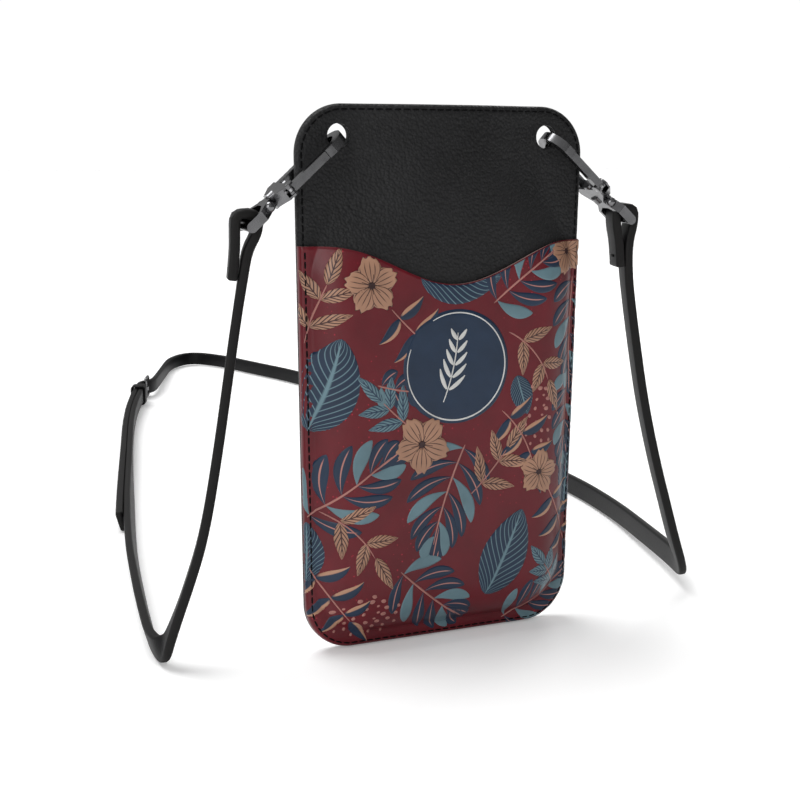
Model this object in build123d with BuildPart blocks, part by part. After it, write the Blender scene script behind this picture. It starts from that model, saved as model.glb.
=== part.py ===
from build123d import *
import math
import os

os.makedirs("parts", exist_ok=True)

# Case: X is the width, +Y the back, Z up; the origin is the middle of the bottom edge, halfway through the depth.
CASE_HEIGHT = 190.0
TOP_WIDTH = 110.0
BOTTOM_WIDTH = 104.0
TOP_CORNER = 18.0
BOTTOM_CORNER = 16.0

# Skins, from the back face forward.
LEATHER = 1.3
LINING = 0.6
POCKET_LINING = 0.4
FLAT = LEATHER + LINING
SHELL = LINING + LEATHER
POCKET_IN = SHELL + POCKET_LINING
POCKET_OUT = POCKET_IN + LEATHER

# The raised front.
DOME_RISE = 8.9
DOME_WALL = 45.0
DOME_CREST = 14.0
RIM = 6.0
BOTTOM_RIM = 8.0
DOME_CORNER = 20.0
DOME_TOP = 171.0
MOUTH_HALF = 31.0
MOUTH_START = 140.0
MOUTH_CORNER = 20.0
CASE_DEPTH = FLAT + POCKET_OUT + DOME_RISE
BACK_Y = CASE_DEPTH / 2

# Wave edge of the card pocket.
WAVE_HIGH = 142.9
WAVE_LOW = 129.4
WAVE_HALF = 46.0
WAVE_STEPS = 8

# Strap holes and seam.
HOLE_X = 39.7
HOLE_Z = 179.4
HOLE_RADIUS = 4.15
HOLE_RELIEF_RADIUS = 4.8
SEAM_INSET = 1.8
THREAD = 0.8
THREAD_PROUD = 0.35

# Strap.
STRAP_WIDTH = 10.0
STRAP_THICK = 3.3
STRAP_GAP = 0.1
BEND_SHARE = 0.45

# Snap hooks; t runs along the hook from the middle of the hole, y is the depth from its long axis.
HOOK_SLOPE = 42.0
HOOK_Y = 3.45
WIRE = 3.0
WIRE_WIDTH = 3.2
BOW_RADIUS = 6.05
BOW_APEX = 0.6
TIP_END = 9.0
BASE_START = 25.5
BASE_END = 32.4
BASE_WIDTH = 4.4
COLLAR_RADIUS = 3.2
COLLAR_LENGTH = 2.4
CHEEK = 0.7
CHEEK_RADIUS = 2.0
HINGE_T = 26.0
SLOT_FLOOR = 3.6
SLOT_END = 28.4
GATE_CLEAR = 0.1
GATE_TIP_GAP = 0.15
GATE_HALF_THICK = 1.25
BARREL_RADIUS = 1.5
PIN_RADIUS = 0.5
PIN_CLEAR = 0.05
SPRING_RADIUS = 1.2
SPRING_BORE = 0.6
SPRING_WIDTH = 1.0
SPRING_WIRE = 0.3
SPRING_LEG_END = 18.0
SPRING_TAIL_END = 28.0
SPRING_ROOM = 0.1
POST_RADIUS = 1.6
POST_CLEAR = 0.05
POST_HEAD_RADIUS = 2.4
POST_HEAD = 1.1
SWIVEL_GAP = 0.1
KNOB_T = 34.5
KNOB_OFFSET = 3.4
KNOB_RADIUS = 1.9
EYE_SHOULDER = 38.3
EYE_THROAT = 36.0
EYE_BAR_T = 44.0
EYE_BAR_RADIUS = 1.5
EYE_STRIP = 1.4
EYE_STRIP_WIDTH = 3.6
EYE_ROOM = 0.4

# Buckle; s runs along the strap away from the case, n is outward, both measured from its middle.
BUCKLE_X = 17.2
BUCKLE_Y = 509.4
BUCKLE_TURN = 69.0
BUCKLE_ROD = 1.0
BUCKLE_HALF = 6.5
BUCKLE_ROOM = 0.3
BUCKLE_BEND = 1.25
PRONG_HALF_WIDTH = 1.3
PRONG_RING = 2.0
PRONG_CLEAR = 0.05
PRONG_THICK = 1.6
PRONG_TIP = 8.2
FOLD_RADIUS = 2.4
PRONG_ROOM = 0.3
SLOT_NEAR = -8.4
SLOT_FAR = 3.2
KEEPER_S = -30.0
KEEPER_LENGTH = 9.0
KEEPER_THICK = 1.2
KEEPER_ROOM = 0.12
BUCKLE_LIFT = BUCKLE_ROD * 2 + BUCKLE_ROOM

# Strap ends: each goes up from its fold, over the eye bar and down to the floor, as (x, z).
LOOP_HALF = 3.6
LOOP_SHOULDER = 1.5
LOOP_RISE = {"left": [(-1.5, -17.0), (-0.4, -8.5)], "right": [(2.2, -17.0), (1.8, -9.0), (0.0, -2.5)]}
LEFT_DROP = [(-72.7, 141.5), (-74.2, 131.0), (-76.4, 117.0), (-79.4, 99.5), (-83.7, 72.6)]
LEFT_DROP += [(-88.6, 45.4), (-94.4, 25.0), (-100.3, 11.0), (-101.8, 0.0)]
RIGHT_DROP = [(74.2, 141.0), (75.0, 131.0), (76.8, 119.0), (79.8, 103.0), (84.3, 81.0)]
RIGHT_DROP += [(90.9, 57.0), (97.5, 37.0), (103.6, 20.0), (107.2, 8.0)]

# Strap on the floor, as (x, y), standing on its edge.
SHORT_RUN = [(-101.8, -1.5), (-97.5, 55.0), (-81.0, 150.0), (-46.0, 295.0), (-9.3, 440.3)]
LONG_RUN = [(47.4, 579.2), (62.0, 617.0), (84.0, 640.0), (102.0, 618.0), (117.0, 568.0), (134.0, 515.0)]
LONG_RUN += [(148.0, 410.0), (155.0, 290.0), (152.0, 165.0), (144.2, 111.5), (129.0, 62.0)]
LONG_RUN += [(114.5, 22.0), (107.2, -1.5)]
TAIL_END_Y = 181.0
CROSSING = [(-60.0, 3.4), (-16.0, 3.4), (-9.5, 4.3), (-4.0, 4.3), (4.6, -3.15)]
LIFT_RUN = 14.0
RAMP_NEAR = 125.0
RAMP_FAR = 95.0
FOOT_STATIONS = [(95.0, 0.0), (62.0, 2.0), (25.0, 5.0), (-3.5, 8.0)]

# Stitches at the strap's folded ends.
LOOP_SEAM = 13.5
LOOP_SEAM_START = {"left": -2.9, "right": 0.0}
LOOP_SEAM_REACH = 0.9
STITCH_RADIUS = 0.35
STITCH_PITCH = 2.6
STITCH_COUNT = 3


def wall(forward):
    """Plane across the case, a distance in front of the back face."""
    return Plane.XZ.offset(forward - BACK_Y)


def half_width(height):
    """Half the case's width at a height."""
    return (BOTTOM_WIDTH + (TOP_WIDTH - BOTTOM_WIDTH) * height / CASE_HEIGHT) / 2


def closed_face(plane, points, radii):
    """Face inside a closed polygon with rounded corners."""
    with BuildSketch(plane) as sketch:
        with BuildLine():
            FilletPolyline(*points, radius=radii, close=True)
        make_face()
    return sketch.sketch


def outline(plane, inset):
    """The case's outline, drawn in from its edge."""
    low, high = inset, CASE_HEIGHT - inset
    points = [(-half_width(low) + inset, low), (half_width(low) - inset, low)]
    points += [(half_width(high) - inset, high), (-half_width(high) + inset, high)]
    foot, head = BOTTOM_CORNER - inset, TOP_CORNER - inset
    return closed_face(plane, points, [foot, foot, head, head])


def crested(face, level):
    """Sloping-sided mound on a face, its top edge rounded."""
    with BuildPart() as body:
        extrude(face, amount=DOME_RISE, taper=DOME_WALL)
        fillet(body.faces().sort_by(Axis.Y)[0].edges(), radius=DOME_CREST + level)
    return body.part


def mound(level):
    """The raised phone space, grown outward by a level."""
    grow = level * math.tan(math.radians(DOME_WALL / 2))
    side, low, high = RIM - grow, BOTTOM_RIM - grow, DOME_TOP + grow
    points = [(-half_width(low) + side, low), (half_width(low) - side, low)]
    points += [(half_width(high) - side, high), (-half_width(high) + side, high)]
    corner = DOME_CORNER + grow
    room = closed_face(wall(FLAT + level), points, [corner] * 4)
    reach, over = MOUTH_HALF + grow, CASE_HEIGHT + MOUTH_CORNER * 2
    start = MOUTH_START - grow
    points = [(-reach, start), (reach, start), (reach, over), (-reach, over)]
    mouth = closed_face(wall(FLAT + level), points, [MOUTH_CORNER + grow] * 4)
    return crested(room, level) + crested(mouth, level)


def wave_height(x):
    """Height of the pocket's wavy edge at a distance from the middle."""
    swing = (WAVE_HIGH - WAVE_LOW) / 2
    share = min(abs(x) / WAVE_HALF, 1.0)
    return WAVE_HIGH - swing - swing * math.cos(math.pi * share)


def wave_region(plane, below):
    """Everything below or above the wave edge."""
    reach = TOP_WIDTH
    far = -CASE_HEIGHT if below else CASE_HEIGHT * 2
    steps = range(-WAVE_STEPS, WAVE_STEPS + 1)
    crest = [(WAVE_HALF * i / WAVE_STEPS, wave_height(WAVE_HALF * i / WAVE_STEPS)) for i in steps]
    with BuildSketch(plane) as sketch:
        with BuildLine():
            Spline(*crest, tangents=[(1, 0), (1, 0)])
            Polyline(crest[-1], (reach, WAVE_HIGH), (reach, far), (-reach, far), (-reach, WAVE_HIGH), crest[0])
        make_face()
    return sketch.sketch


def domed_skin(inner, outer):
    """One skin of the raised front between two levels."""
    with BuildPart() as skin:
        extrude(outline(wall(FLAT + inner), 0), amount=outer - inner)
        add(mound(outer))
        add(mound(inner), mode=Mode.SUBTRACT)
        extrude(outline(wall(0), 0), amount=CASE_DEPTH * 2, mode=Mode.INTERSECT)
    return skin.part


def strap_holes():
    """The two punched holes, right through, cut wider in the back skins so that a turned hook clears them."""
    with BuildPart() as holes:
        with BuildSketch(wall(-LEATHER)):
            with Locations((-HOLE_X, HOLE_Z), (HOLE_X, HOLE_Z)):
                Circle(HOLE_RADIUS)
        extrude(amount=CASE_DEPTH * 2)
        with BuildSketch(wall(-LEATHER)):
            with Locations((-HOLE_X, HOLE_Z), (HOLE_X, HOLE_Z)):
                Circle(HOLE_RELIEF_RADIUS)
        extrude(amount=LEATHER + FLAT)
    return holes.part


def seam_band(plane, amount):
    """Band along the seam line, all round the case."""
    with BuildPart() as band:
        extrude(outline(plane, SEAM_INSET - THREAD / 2), amount=amount)
        extrude(outline(plane, SEAM_INSET + THREAD / 2), amount=amount, mode=Mode.SUBTRACT)
    return band.part


def bends(points):
    """Bend radius at each inner corner of an open path."""
    radii = []
    for before, here, after in zip(points, points[1:], points[2:]):
        into = (here[0] - before[0], here[1] - before[1])
        out = (after[0] - here[0], after[1] - here[1])
        cross = into[0] * out[1] - into[1] * out[0]
        turn = abs(math.atan2(cross, into[0] * out[0] + into[1] * out[1]))
        radii.append(BEND_SHARE * min(math.hypot(*into), math.hypot(*out)) / math.tan(turn / 2))
    return radii


def band_path(plane, points):
    """Straight runs joined by tangent arcs."""
    with BuildLine(plane) as line:
        FilletPolyline(*points, radius=bends(points))
    return line.wire()


def band_face(plane, points):
    """The strap's thickness drawn along a path."""
    with BuildSketch(plane) as sketch:
        with BuildLine():
            FilletPolyline(*points, radius=bends(points))
        trace(line_width=STRAP_THICK)
    return sketch.sketch


def raised(floor_run, plane, stations, reach):
    """A strap run lying on edge, lifted off the floor along its stations."""
    first, last = stations[0][0], stations[-1][0]
    under = [(first, 0), *stations, (last, 0)]
    over = [(first, STRAP_WIDTH), *[(s, z + STRAP_WIDTH) for s, z in stations], (last, STRAP_WIDTH)]
    under = [p for i, p in enumerate(under) if i == 0 or p != under[i - 1]]
    over = [p for i, p in enumerate(over) if i == 0 or p != over[i - 1]]
    with BuildPart() as top:
        extrude(floor_run, amount=STRAP_WIDTH * 2)
        with BuildSketch(plane):
            with BuildLine():
                Polyline(*over, close=True)
            make_face()
        extrude(amount=reach, both=True, mode=Mode.INTERSECT)
    with BuildPart() as gap:
        with BuildSketch(plane):
            with BuildLine():
                Polyline(*under, close=True)
            make_face()
        extrude(amount=reach, both=True)
    return top.part, gap.part


# ---- case skins ----
holes = strap_holes()

with BuildPart() as back_panel:
    extrude(outline(wall(0), 0), amount=LEATHER)
    add(holes, mode=Mode.SUBTRACT)
back_panel.part.label = "back_panel"
export_step(back_panel.part, "parts/back_panel.step")

with BuildPart() as back_lining:
    extrude(outline(wall(LEATHER), 0), amount=LINING)
    add(holes, mode=Mode.SUBTRACT)
back_lining.part.label = "back_lining"
export_step(back_lining.part, "parts/back_lining.step")

with BuildPart() as front_lining:
    add(domed_skin(0, LINING))
    add(holes, mode=Mode.SUBTRACT)
front_lining.part.label = "front_lining"
export_step(front_lining.part, "parts/front_lining.step")

with BuildPart() as front_panel:
    add(domed_skin(LINING, SHELL))
    add(holes, mode=Mode.SUBTRACT)
front_panel.part.label = "front_panel"
export_step(front_panel.part, "parts/front_panel.step")

with BuildPart() as pocket_lining:
    add(domed_skin(SHELL, POCKET_IN))
    extrude(wave_region(wall(0), True), amount=CASE_DEPTH * 2, mode=Mode.INTERSECT)
pocket_lining.part.label = "pocket_lining"
export_step(pocket_lining.part, "parts/pocket_lining.step")

with BuildPart() as card_pocket:
    add(domed_skin(POCKET_IN, POCKET_OUT))
    extrude(wave_region(wall(0), True), amount=CASE_DEPTH * 2, mode=Mode.INTERSECT)
card_pocket.part.label = "card_pocket"
export_step(card_pocket.part, "parts/card_pocket.step")

# ---- seam ----
with BuildPart() as upper_seam:
    add(domed_skin(SHELL, SHELL + THREAD_PROUD))
    extrude(wave_region(wall(0), False), amount=CASE_DEPTH * 2, mode=Mode.INTERSECT)
    add(seam_band(wall(0), CASE_DEPTH * 2), mode=Mode.INTERSECT)

with BuildPart() as seam_step:
    with BuildSketch(wall(FLAT + SHELL)):
        with Locations((0, WAVE_HIGH + THREAD / 2)):
            Rectangle(TOP_WIDTH, THREAD)
    extrude(amount=POCKET_OUT - SHELL + THREAD_PROUD)
    add(seam_band(wall(0), CASE_DEPTH * 2), mode=Mode.INTERSECT)

with BuildPart() as seam_needle_thread:
    add(domed_skin(POCKET_OUT, POCKET_OUT + THREAD_PROUD))
    extrude(wave_region(wall(0), True), amount=CASE_DEPTH * 2, mode=Mode.INTERSECT)
    add(seam_band(wall(0), CASE_DEPTH * 2), mode=Mode.INTERSECT)
    add(upper_seam.part)
    add(seam_step.part)
seam_needle_thread.part.label = "seam_needle_thread"
export_step(seam_needle_thread.part, "parts/seam_needle_thread.step")

with BuildPart() as seam_bobbin_thread:
    add(seam_band(wall(-THREAD_PROUD), THREAD_PROUD))
seam_bobbin_thread.part.label = "seam_bobbin_thread"
export_step(seam_bobbin_thread.part, "parts/seam_bobbin_thread.step")


def hook_plane(side):
    """Plane of one hook: x along the hook away from the hole, y to the back."""
    slope = math.radians(HOOK_SLOPE)
    along = Vector(side * math.cos(slope), 0, -math.sin(slope))
    return Plane(origin=(side * HOLE_X, HOOK_Y, HOLE_Z), x_dir=along, z_dir=along.cross(Vector(0, 1, 0)))


def hook_axis_plane(side, start):
    """Plane square across one hook at a station."""
    flat = hook_plane(side)
    return Plane(origin=flat.from_local_coords(Vector(start, 0, 0)), x_dir=flat.y_dir, z_dir=flat.x_dir)


for side, name in ((-1, "left"), (1, "right")):
    flat = hook_plane(side)
    bow_centre = BOW_APEX + BOW_RADIUS

    with BuildPart() as hook_body:
        with BuildSketch(flat):
            with BuildLine():
                Line((BASE_START + WIRE, BOW_RADIUS), (bow_centre, BOW_RADIUS))
                ThreePointArc((bow_centre, BOW_RADIUS), (BOW_APEX, 0), (bow_centre, -BOW_RADIUS))
                Line((bow_centre, -BOW_RADIUS), (TIP_END, -BOW_RADIUS))
            trace(line_width=WIRE)
        extrude(amount=WIRE_WIDTH / 2, both=True)
        with BuildSketch(flat):
            edge = BOW_RADIUS + WIRE / 2
            with BuildLine():
                Polyline(
                    (BASE_START, edge),
                    (SLOT_END, edge),
                    (BASE_END, COLLAR_RADIUS),
                    (BASE_END, -COLLAR_RADIUS),
                    (SLOT_END, -edge),
                    (HINGE_T, -edge),
                    (BASE_START, -SLOT_FLOOR),
                    close=True,
                )
            make_face()
            with Locations((HINGE_T, -BOW_RADIUS)):
                Circle(CHEEK_RADIUS)
        extrude(amount=BASE_WIDTH / 2, both=True)
        with BuildSketch(flat):
            with Locations(((SLOT_END + BOW_RADIUS) / 2, -SLOT_FLOOR - WIRE)):
                Rectangle(SLOT_END - BOW_RADIUS, WIRE * 2)
        extrude(amount=BASE_WIDTH / 2 - CHEEK, both=True, mode=Mode.SUBTRACT)
        with BuildSketch(flat):
            with BuildLine():
                Line((TIP_END - WIRE, -BOW_RADIUS), (TIP_END, -BOW_RADIUS))
            trace(line_width=WIRE)
        extrude(amount=WIRE_WIDTH / 2, both=True)
        with BuildSketch(hook_axis_plane(side, BASE_END - COLLAR_LENGTH)):
            Circle(COLLAR_RADIUS)
        extrude(amount=COLLAR_LENGTH)
        with BuildSketch(hook_axis_plane(side, BASE_START - WIRE)):
            Circle(POST_RADIUS + POST_CLEAR)
        extrude(amount=BASE_END - BASE_START + WIRE * 2, mode=Mode.SUBTRACT)
        with BuildSketch(flat):
            with Locations((HINGE_T, -BOW_RADIUS)):
                Circle(PIN_RADIUS)
        extrude(amount=BASE_WIDTH, both=True, mode=Mode.SUBTRACT)
    hook_body.part.label = name + "_hook_body"
    export_step(hook_body.part, "parts/" + name + "_hook_body.step")

    with BuildPart() as hook_gate:
        tip = TIP_END + GATE_TIP_GAP
        with BuildSketch(flat):
            with Locations(((HINGE_T + tip) / 2, -BOW_RADIUS)):
                Rectangle(HINGE_T - tip, GATE_HALF_THICK * 2)
            with Locations((HINGE_T, -BOW_RADIUS)):
                Circle(BARREL_RADIUS)
                Circle(PIN_RADIUS + PIN_CLEAR, mode=Mode.SUBTRACT)
        extrude(amount=BASE_WIDTH / 2 - CHEEK - GATE_CLEAR, both=True)
        with BuildSketch(flat):
            with Locations((HINGE_T, -BOW_RADIUS)):
                Circle(BARREL_RADIUS + SPRING_ROOM)
            leg_start = SPRING_LEG_END - SPRING_ROOM
            leg_low = BOW_RADIUS - SPRING_RADIUS + SPRING_WIRE + SPRING_ROOM
            with Locations(((HINGE_T + leg_start) / 2, -leg_low / 2)):
                Rectangle(HINGE_T - leg_start, leg_low)
        extrude(amount=SPRING_WIDTH / 2 + SPRING_ROOM, both=True, mode=Mode.SUBTRACT)
    hook_gate.part.label = name + "_hook_gate"
    export_step(hook_gate.part, "parts/" + name + "_hook_gate.step")

    with BuildPart() as gate_pin:
        with BuildSketch(flat):
            with Locations((HINGE_T, -BOW_RADIUS)):
                Circle(PIN_RADIUS)
        extrude(amount=BASE_WIDTH / 2, both=True)
    gate_pin.part.label = name + "_gate_pin"
    export_step(gate_pin.part, "parts/" + name + "_gate_pin.step")

    with BuildPart() as gate_spring:
        with BuildSketch(flat):
            leg_mid = BOW_RADIUS - SPRING_RADIUS + SPRING_WIRE / 2
            with Locations((HINGE_T, -BOW_RADIUS)):
                Circle(SPRING_RADIUS)
            with Locations(((SPRING_TAIL_END + SPRING_LEG_END) / 2, -leg_mid)):
                Rectangle(SPRING_TAIL_END - SPRING_LEG_END, SPRING_WIRE)
            with Locations((HINGE_T, -BOW_RADIUS)):
                Circle(SPRING_BORE, mode=Mode.SUBTRACT)
        extrude(amount=SPRING_WIDTH / 2, both=True)
    gate_spring.part.label = name + "_gate_spring"
    export_step(gate_spring.part, "parts/" + name + "_gate_spring.step")

    with BuildPart() as swivel_eye:
        inner = STRAP_WIDTH / 2 + EYE_ROOM
        outer = inner + EYE_STRIP
        with BuildSketch(flat):
            start = BASE_END + SWIVEL_GAP
            with BuildLine():
                Polyline(
                    (start, POST_HEAD_RADIUS),
                    (KNOB_T, KNOB_OFFSET),
                    (EYE_SHOULDER, outer),
                    (EYE_BAR_T, outer),
                    (EYE_BAR_T, -outer),
                    (EYE_SHOULDER, -outer),
                    (KNOB_T, -KNOB_OFFSET),
                    (start, -POST_HEAD_RADIUS),
                    close=True,
                )
            make_face()
            with BuildLine():
                Polyline(
                    (EYE_THROAT, KNOB_RADIUS),
                    (EYE_SHOULDER, inner),
                    (EYE_BAR_T, inner),
                    (EYE_BAR_T, -inner),
                    (EYE_SHOULDER, -inner),
                    (EYE_THROAT, -KNOB_RADIUS),
                    close=True,
                )
            make_face(mode=Mode.SUBTRACT)
        extrude(amount=EYE_STRIP_WIDTH / 2, both=True)
        across = Plane(origin=flat.from_local_coords(Vector(EYE_BAR_T, 0, 0)), x_dir=flat.x_dir, z_dir=flat.y_dir)
        with BuildSketch(across):
            Circle(EYE_BAR_RADIUS)
        extrude(amount=inner, both=True)
        for end in (-1, 1):
            with BuildSketch(across.offset(end * (inner + EYE_STRIP / 2))):
                Circle(EYE_STRIP_WIDTH / 2)
            extrude(amount=EYE_STRIP / 2, both=True)
        with Locations(*[flat.from_local_coords(Vector(KNOB_T, end * KNOB_OFFSET, 0)) for end in (-1, 1)]):
            Sphere(KNOB_RADIUS)
        with BuildSketch(hook_axis_plane(side, BASE_START - SWIVEL_GAP)):
            Circle(POST_RADIUS)
        extrude(amount=KNOB_T - BASE_START)
        with BuildSketch(hook_axis_plane(side, BASE_START - SWIVEL_GAP - POST_HEAD)):
            Circle(POST_HEAD_RADIUS)
        extrude(amount=POST_HEAD)
    swivel_eye.part.label = name + "_swivel_eye"
    export_step(swivel_eye.part, "parts/" + name + "_swivel_eye.step")

# ---- strap ends round the eyes ----
ends = {}
lengths = {}
for side, name, drop in ((-1, "left", LEFT_DROP), (1, "right", RIGHT_DROP)):
    bar = hook_plane(side).from_local_coords(Vector(EYE_BAR_T, 0, 0))
    top = bar.Z + LOOP_HALF
    out, back = (bar.X + side * LOOP_HALF, bar.X - side * LOOP_HALF)
    turn = {"left": (out, back), "right": (back, out)}[name]
    rise = [(turn[0] + x, bar.Z + z) for x, z in LOOP_RISE[name]]
    fall = [(turn[1], top), (turn[1], bar.Z - LOOP_SHOULDER)]
    route = rise + [(turn[0], top)] + fall + drop
    print(name, "strap end, bend radii:", [round(r, 1) for r in bends(route)])
    with BuildPart() as hanging:
        extrude(band_face(Plane.XZ.offset(-HOOK_Y), route), amount=STRAP_WIDTH / 2, both=True)
    ends[name] = hanging.part
    lengths[name] = band_path(Plane.XZ, route).length

    seam_z = bar.Z - LOOP_SEAM
    with BuildPart() as loop_stitches:
        with BuildSketch(Plane.YZ.offset(turn[0] + LOOP_SEAM_START[name])):
            for row in range(STITCH_COUNT):
                with Locations((HOOK_Y + STITCH_PITCH * (row - (STITCH_COUNT - 1) / 2), seam_z)):
                    Circle(STITCH_RADIUS)
        extrude(amount=STRAP_THICK * 2 + LOOP_SEAM_REACH)
    loop_stitches.part.label = name + "_loop_stitches"
    export_step(loop_stitches.part, "parts/" + name + "_loop_stitches.step")

# ---- strap on the floor ----
along = Vector(math.cos(math.radians(BUCKLE_TURN)), math.sin(math.radians(BUCKLE_TURN)), 0)
plan = Plane(origin=(BUCKLE_X, BUCKLE_Y, 0), x_dir=along, z_dir=(0, 0, 1))
upright = Plane(origin=(BUCKLE_X, BUCKLE_Y, 0), x_dir=along, z_dir=along.cross(Vector(0, 0, 1)))


def at_buckle(s, n):
    """Floor point from a station along and across the buckle."""
    point = plan.from_local_coords(Vector(s, n, 0))
    return (point.X, point.Y)


heel = -BUCKLE_HALF
mid_z = BUCKLE_LIFT + STRAP_WIDTH / 2
buckle_stations = [(-RAMP_NEAR, 0), (KEEPER_S - LIFT_RUN, BUCKLE_LIFT), (LIFT_RUN, BUCKLE_LIFT), (RAMP_FAR, 0)]
tail_offset = STRAP_THICK + STRAP_GAP

near_run = SHORT_RUN + [at_buckle(heel - FOLD_RADIUS + STRAP_GAP, 0)]
print("short strap on the floor, bend radii:", [round(r, 1) for r in bends(near_run)])
short_floor = band_face(Plane.XY, near_run)
lift_top, lift_gap = raised(short_floor, upright, buckle_stations, STRAP_WIDTH * 3)

with BuildPart() as strap_short:
    extrude(short_floor, amount=STRAP_WIDTH)
    add(lift_top)
    add(lift_gap, mode=Mode.SUBTRACT)
    add(ends["left"])
    with BuildSketch(plan.offset(BUCKLE_LIFT)):
        with Locations((heel, 0)):
            Circle(FOLD_RADIUS)
    extrude(amount=STRAP_WIDTH)
    with BuildSketch(plan):
        with Locations((heel, 0)):
            Circle(BUCKLE_ROD + PRONG_CLEAR)
    extrude(amount=STRAP_WIDTH * 2, mode=Mode.SUBTRACT)
    with BuildSketch(plan.offset(mid_z)):
        with Locations((heel, 0)):
            Rectangle(FOLD_RADIUS * 2 + PRONG_ROOM * 2, FOLD_RADIUS * 3)
    extrude(amount=PRONG_HALF_WIDTH + PRONG_ROOM, both=True, mode=Mode.SUBTRACT)
strap_short.part.label = "strap_short"
export_step(strap_short.part, "parts/strap_short.step")

with BuildLine() as near_line:
    FilletPolyline(*near_run, radius=bends(near_run))
tail_line = near_line.wire().offset_2d(tail_offset, side=Side.LEFT, closed=False)
crossing = [at_buckle(s, n) for s, n in CROSSING]
far_run = crossing + LONG_RUN
print("long strap on the floor, bend radii:", [round(r, 1) for r in bends(far_run)])
with BuildSketch() as long_floor:
    trace(tail_line.edges(), line_width=STRAP_THICK)
    with Locations((0, TAIL_END_Y - CASE_HEIGHT)):
        Rectangle(CASE_HEIGHT * 4, CASE_HEIGHT * 2, mode=Mode.SUBTRACT)
    with Locations(plan.location * Location((heel, tail_offset, 0))):
        Rectangle(-CROSSING[0][0], STRAP_THICK * 2, mode=Mode.SUBTRACT)
    add(band_face(Plane.XY, far_run))
tail_top, tail_gap = raised(long_floor.sketch, upright, buckle_stations, STRAP_WIDTH * 3)
side_plane = Plane(origin=(LONG_RUN[-1][0], 0, 0), x_dir=(0, 1, 0), z_dir=(1, 0, 0))
foot_top, foot_gap = raised(long_floor.sketch, side_plane, FOOT_STATIONS, STRAP_WIDTH * 5)

with BuildPart() as strap_long:
    extrude(long_floor.sketch, amount=STRAP_WIDTH)
    add(tail_top)
    add(foot_top)
    add(tail_gap, mode=Mode.SUBTRACT)
    add(foot_gap, mode=Mode.SUBTRACT)
    add(ends["right"])
    with BuildSketch(plan.offset(mid_z)):
        with Locations(((SLOT_NEAR + SLOT_FAR) / 2, 0)):
            Rectangle(SLOT_FAR - SLOT_NEAR, STRAP_WIDTH * 2)
    extrude(amount=PRONG_HALF_WIDTH + PRONG_ROOM, both=True, mode=Mode.SUBTRACT)
strap_long.part.label = "strap_long"
export_step(strap_long.part, "parts/strap_long.step")

# ---- buckle ----
low_rod, high_rod = BUCKLE_ROD, 2 * mid_z - BUCKLE_ROD
with BuildPart() as buckle_frame:
    corners = [(-BUCKLE_HALF, low_rod), (BUCKLE_HALF, low_rod), (BUCKLE_HALF, high_rod), (-BUCKLE_HALF, high_rod)]
    with BuildLine(upright):
        FilletPolyline(*corners, radius=[BUCKLE_BEND] * 4, close=True)
    rod_start = upright.from_local_coords(Vector(0, low_rod, 0))
    with BuildSketch(Plane(origin=rod_start, z_dir=along)):
        Circle(BUCKLE_ROD)
    sweep()
buckle_frame.part.label = "buckle_frame"
export_step(buckle_frame.part, "parts/buckle_frame.step")

with BuildPart() as buckle_prong:
    with BuildSketch(plan.offset(mid_z)):
        with Locations((heel, 0)):
            Circle(PRONG_RING)
        prong_n = BUCKLE_ROD + STRAP_GAP + PRONG_THICK / 2
        with Locations(((heel + PRONG_TIP) / 2, prong_n)):
            Rectangle(PRONG_TIP - heel, PRONG_THICK)
        with Locations((heel, 0)):
            Circle(BUCKLE_ROD + PRONG_CLEAR, mode=Mode.SUBTRACT)
    extrude(amount=PRONG_HALF_WIDTH, both=True)
buckle_prong.part.label = "buckle_prong"
export_step(buckle_prong.part, "parts/buckle_prong.step")

with BuildPart() as keeper_loop:
    keeper_at = plan.from_local_coords(Vector(KEEPER_S, tail_offset / 2, mid_z))
    with BuildSketch(Plane(origin=keeper_at, x_dir=plan.y_dir, z_dir=along)):
        stack = STRAP_THICK + tail_offset + KEEPER_ROOM * 2
        tall = STRAP_WIDTH + KEEPER_ROOM * 2
        Rectangle(stack + KEEPER_THICK * 2, tall + KEEPER_THICK * 2)
        Rectangle(stack, tall, mode=Mode.SUBTRACT)
    extrude(amount=KEEPER_LENGTH / 2, both=True)
keeper_loop.part.label = "keeper_loop"
export_step(keeper_loop.part, "parts/keeper_loop.step")

near_length = band_path(Plane.XY, near_run).length
far_length = band_path(Plane.XY, far_run).length
print("strap, clasp to buckle, short:", round(lengths["left"] + near_length))
print("strap, clasp to buckle, long:", round(lengths["right"] + far_length))
print("short strap volume", round(strap_short.part.volume), "long", round(strap_long.part.volume))
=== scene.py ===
import math

import bpy
import numpy as np
from bpy.props import FloatProperty, FloatVectorProperty, IntProperty, PointerProperty
from mathutils import Matrix, Vector


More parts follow.
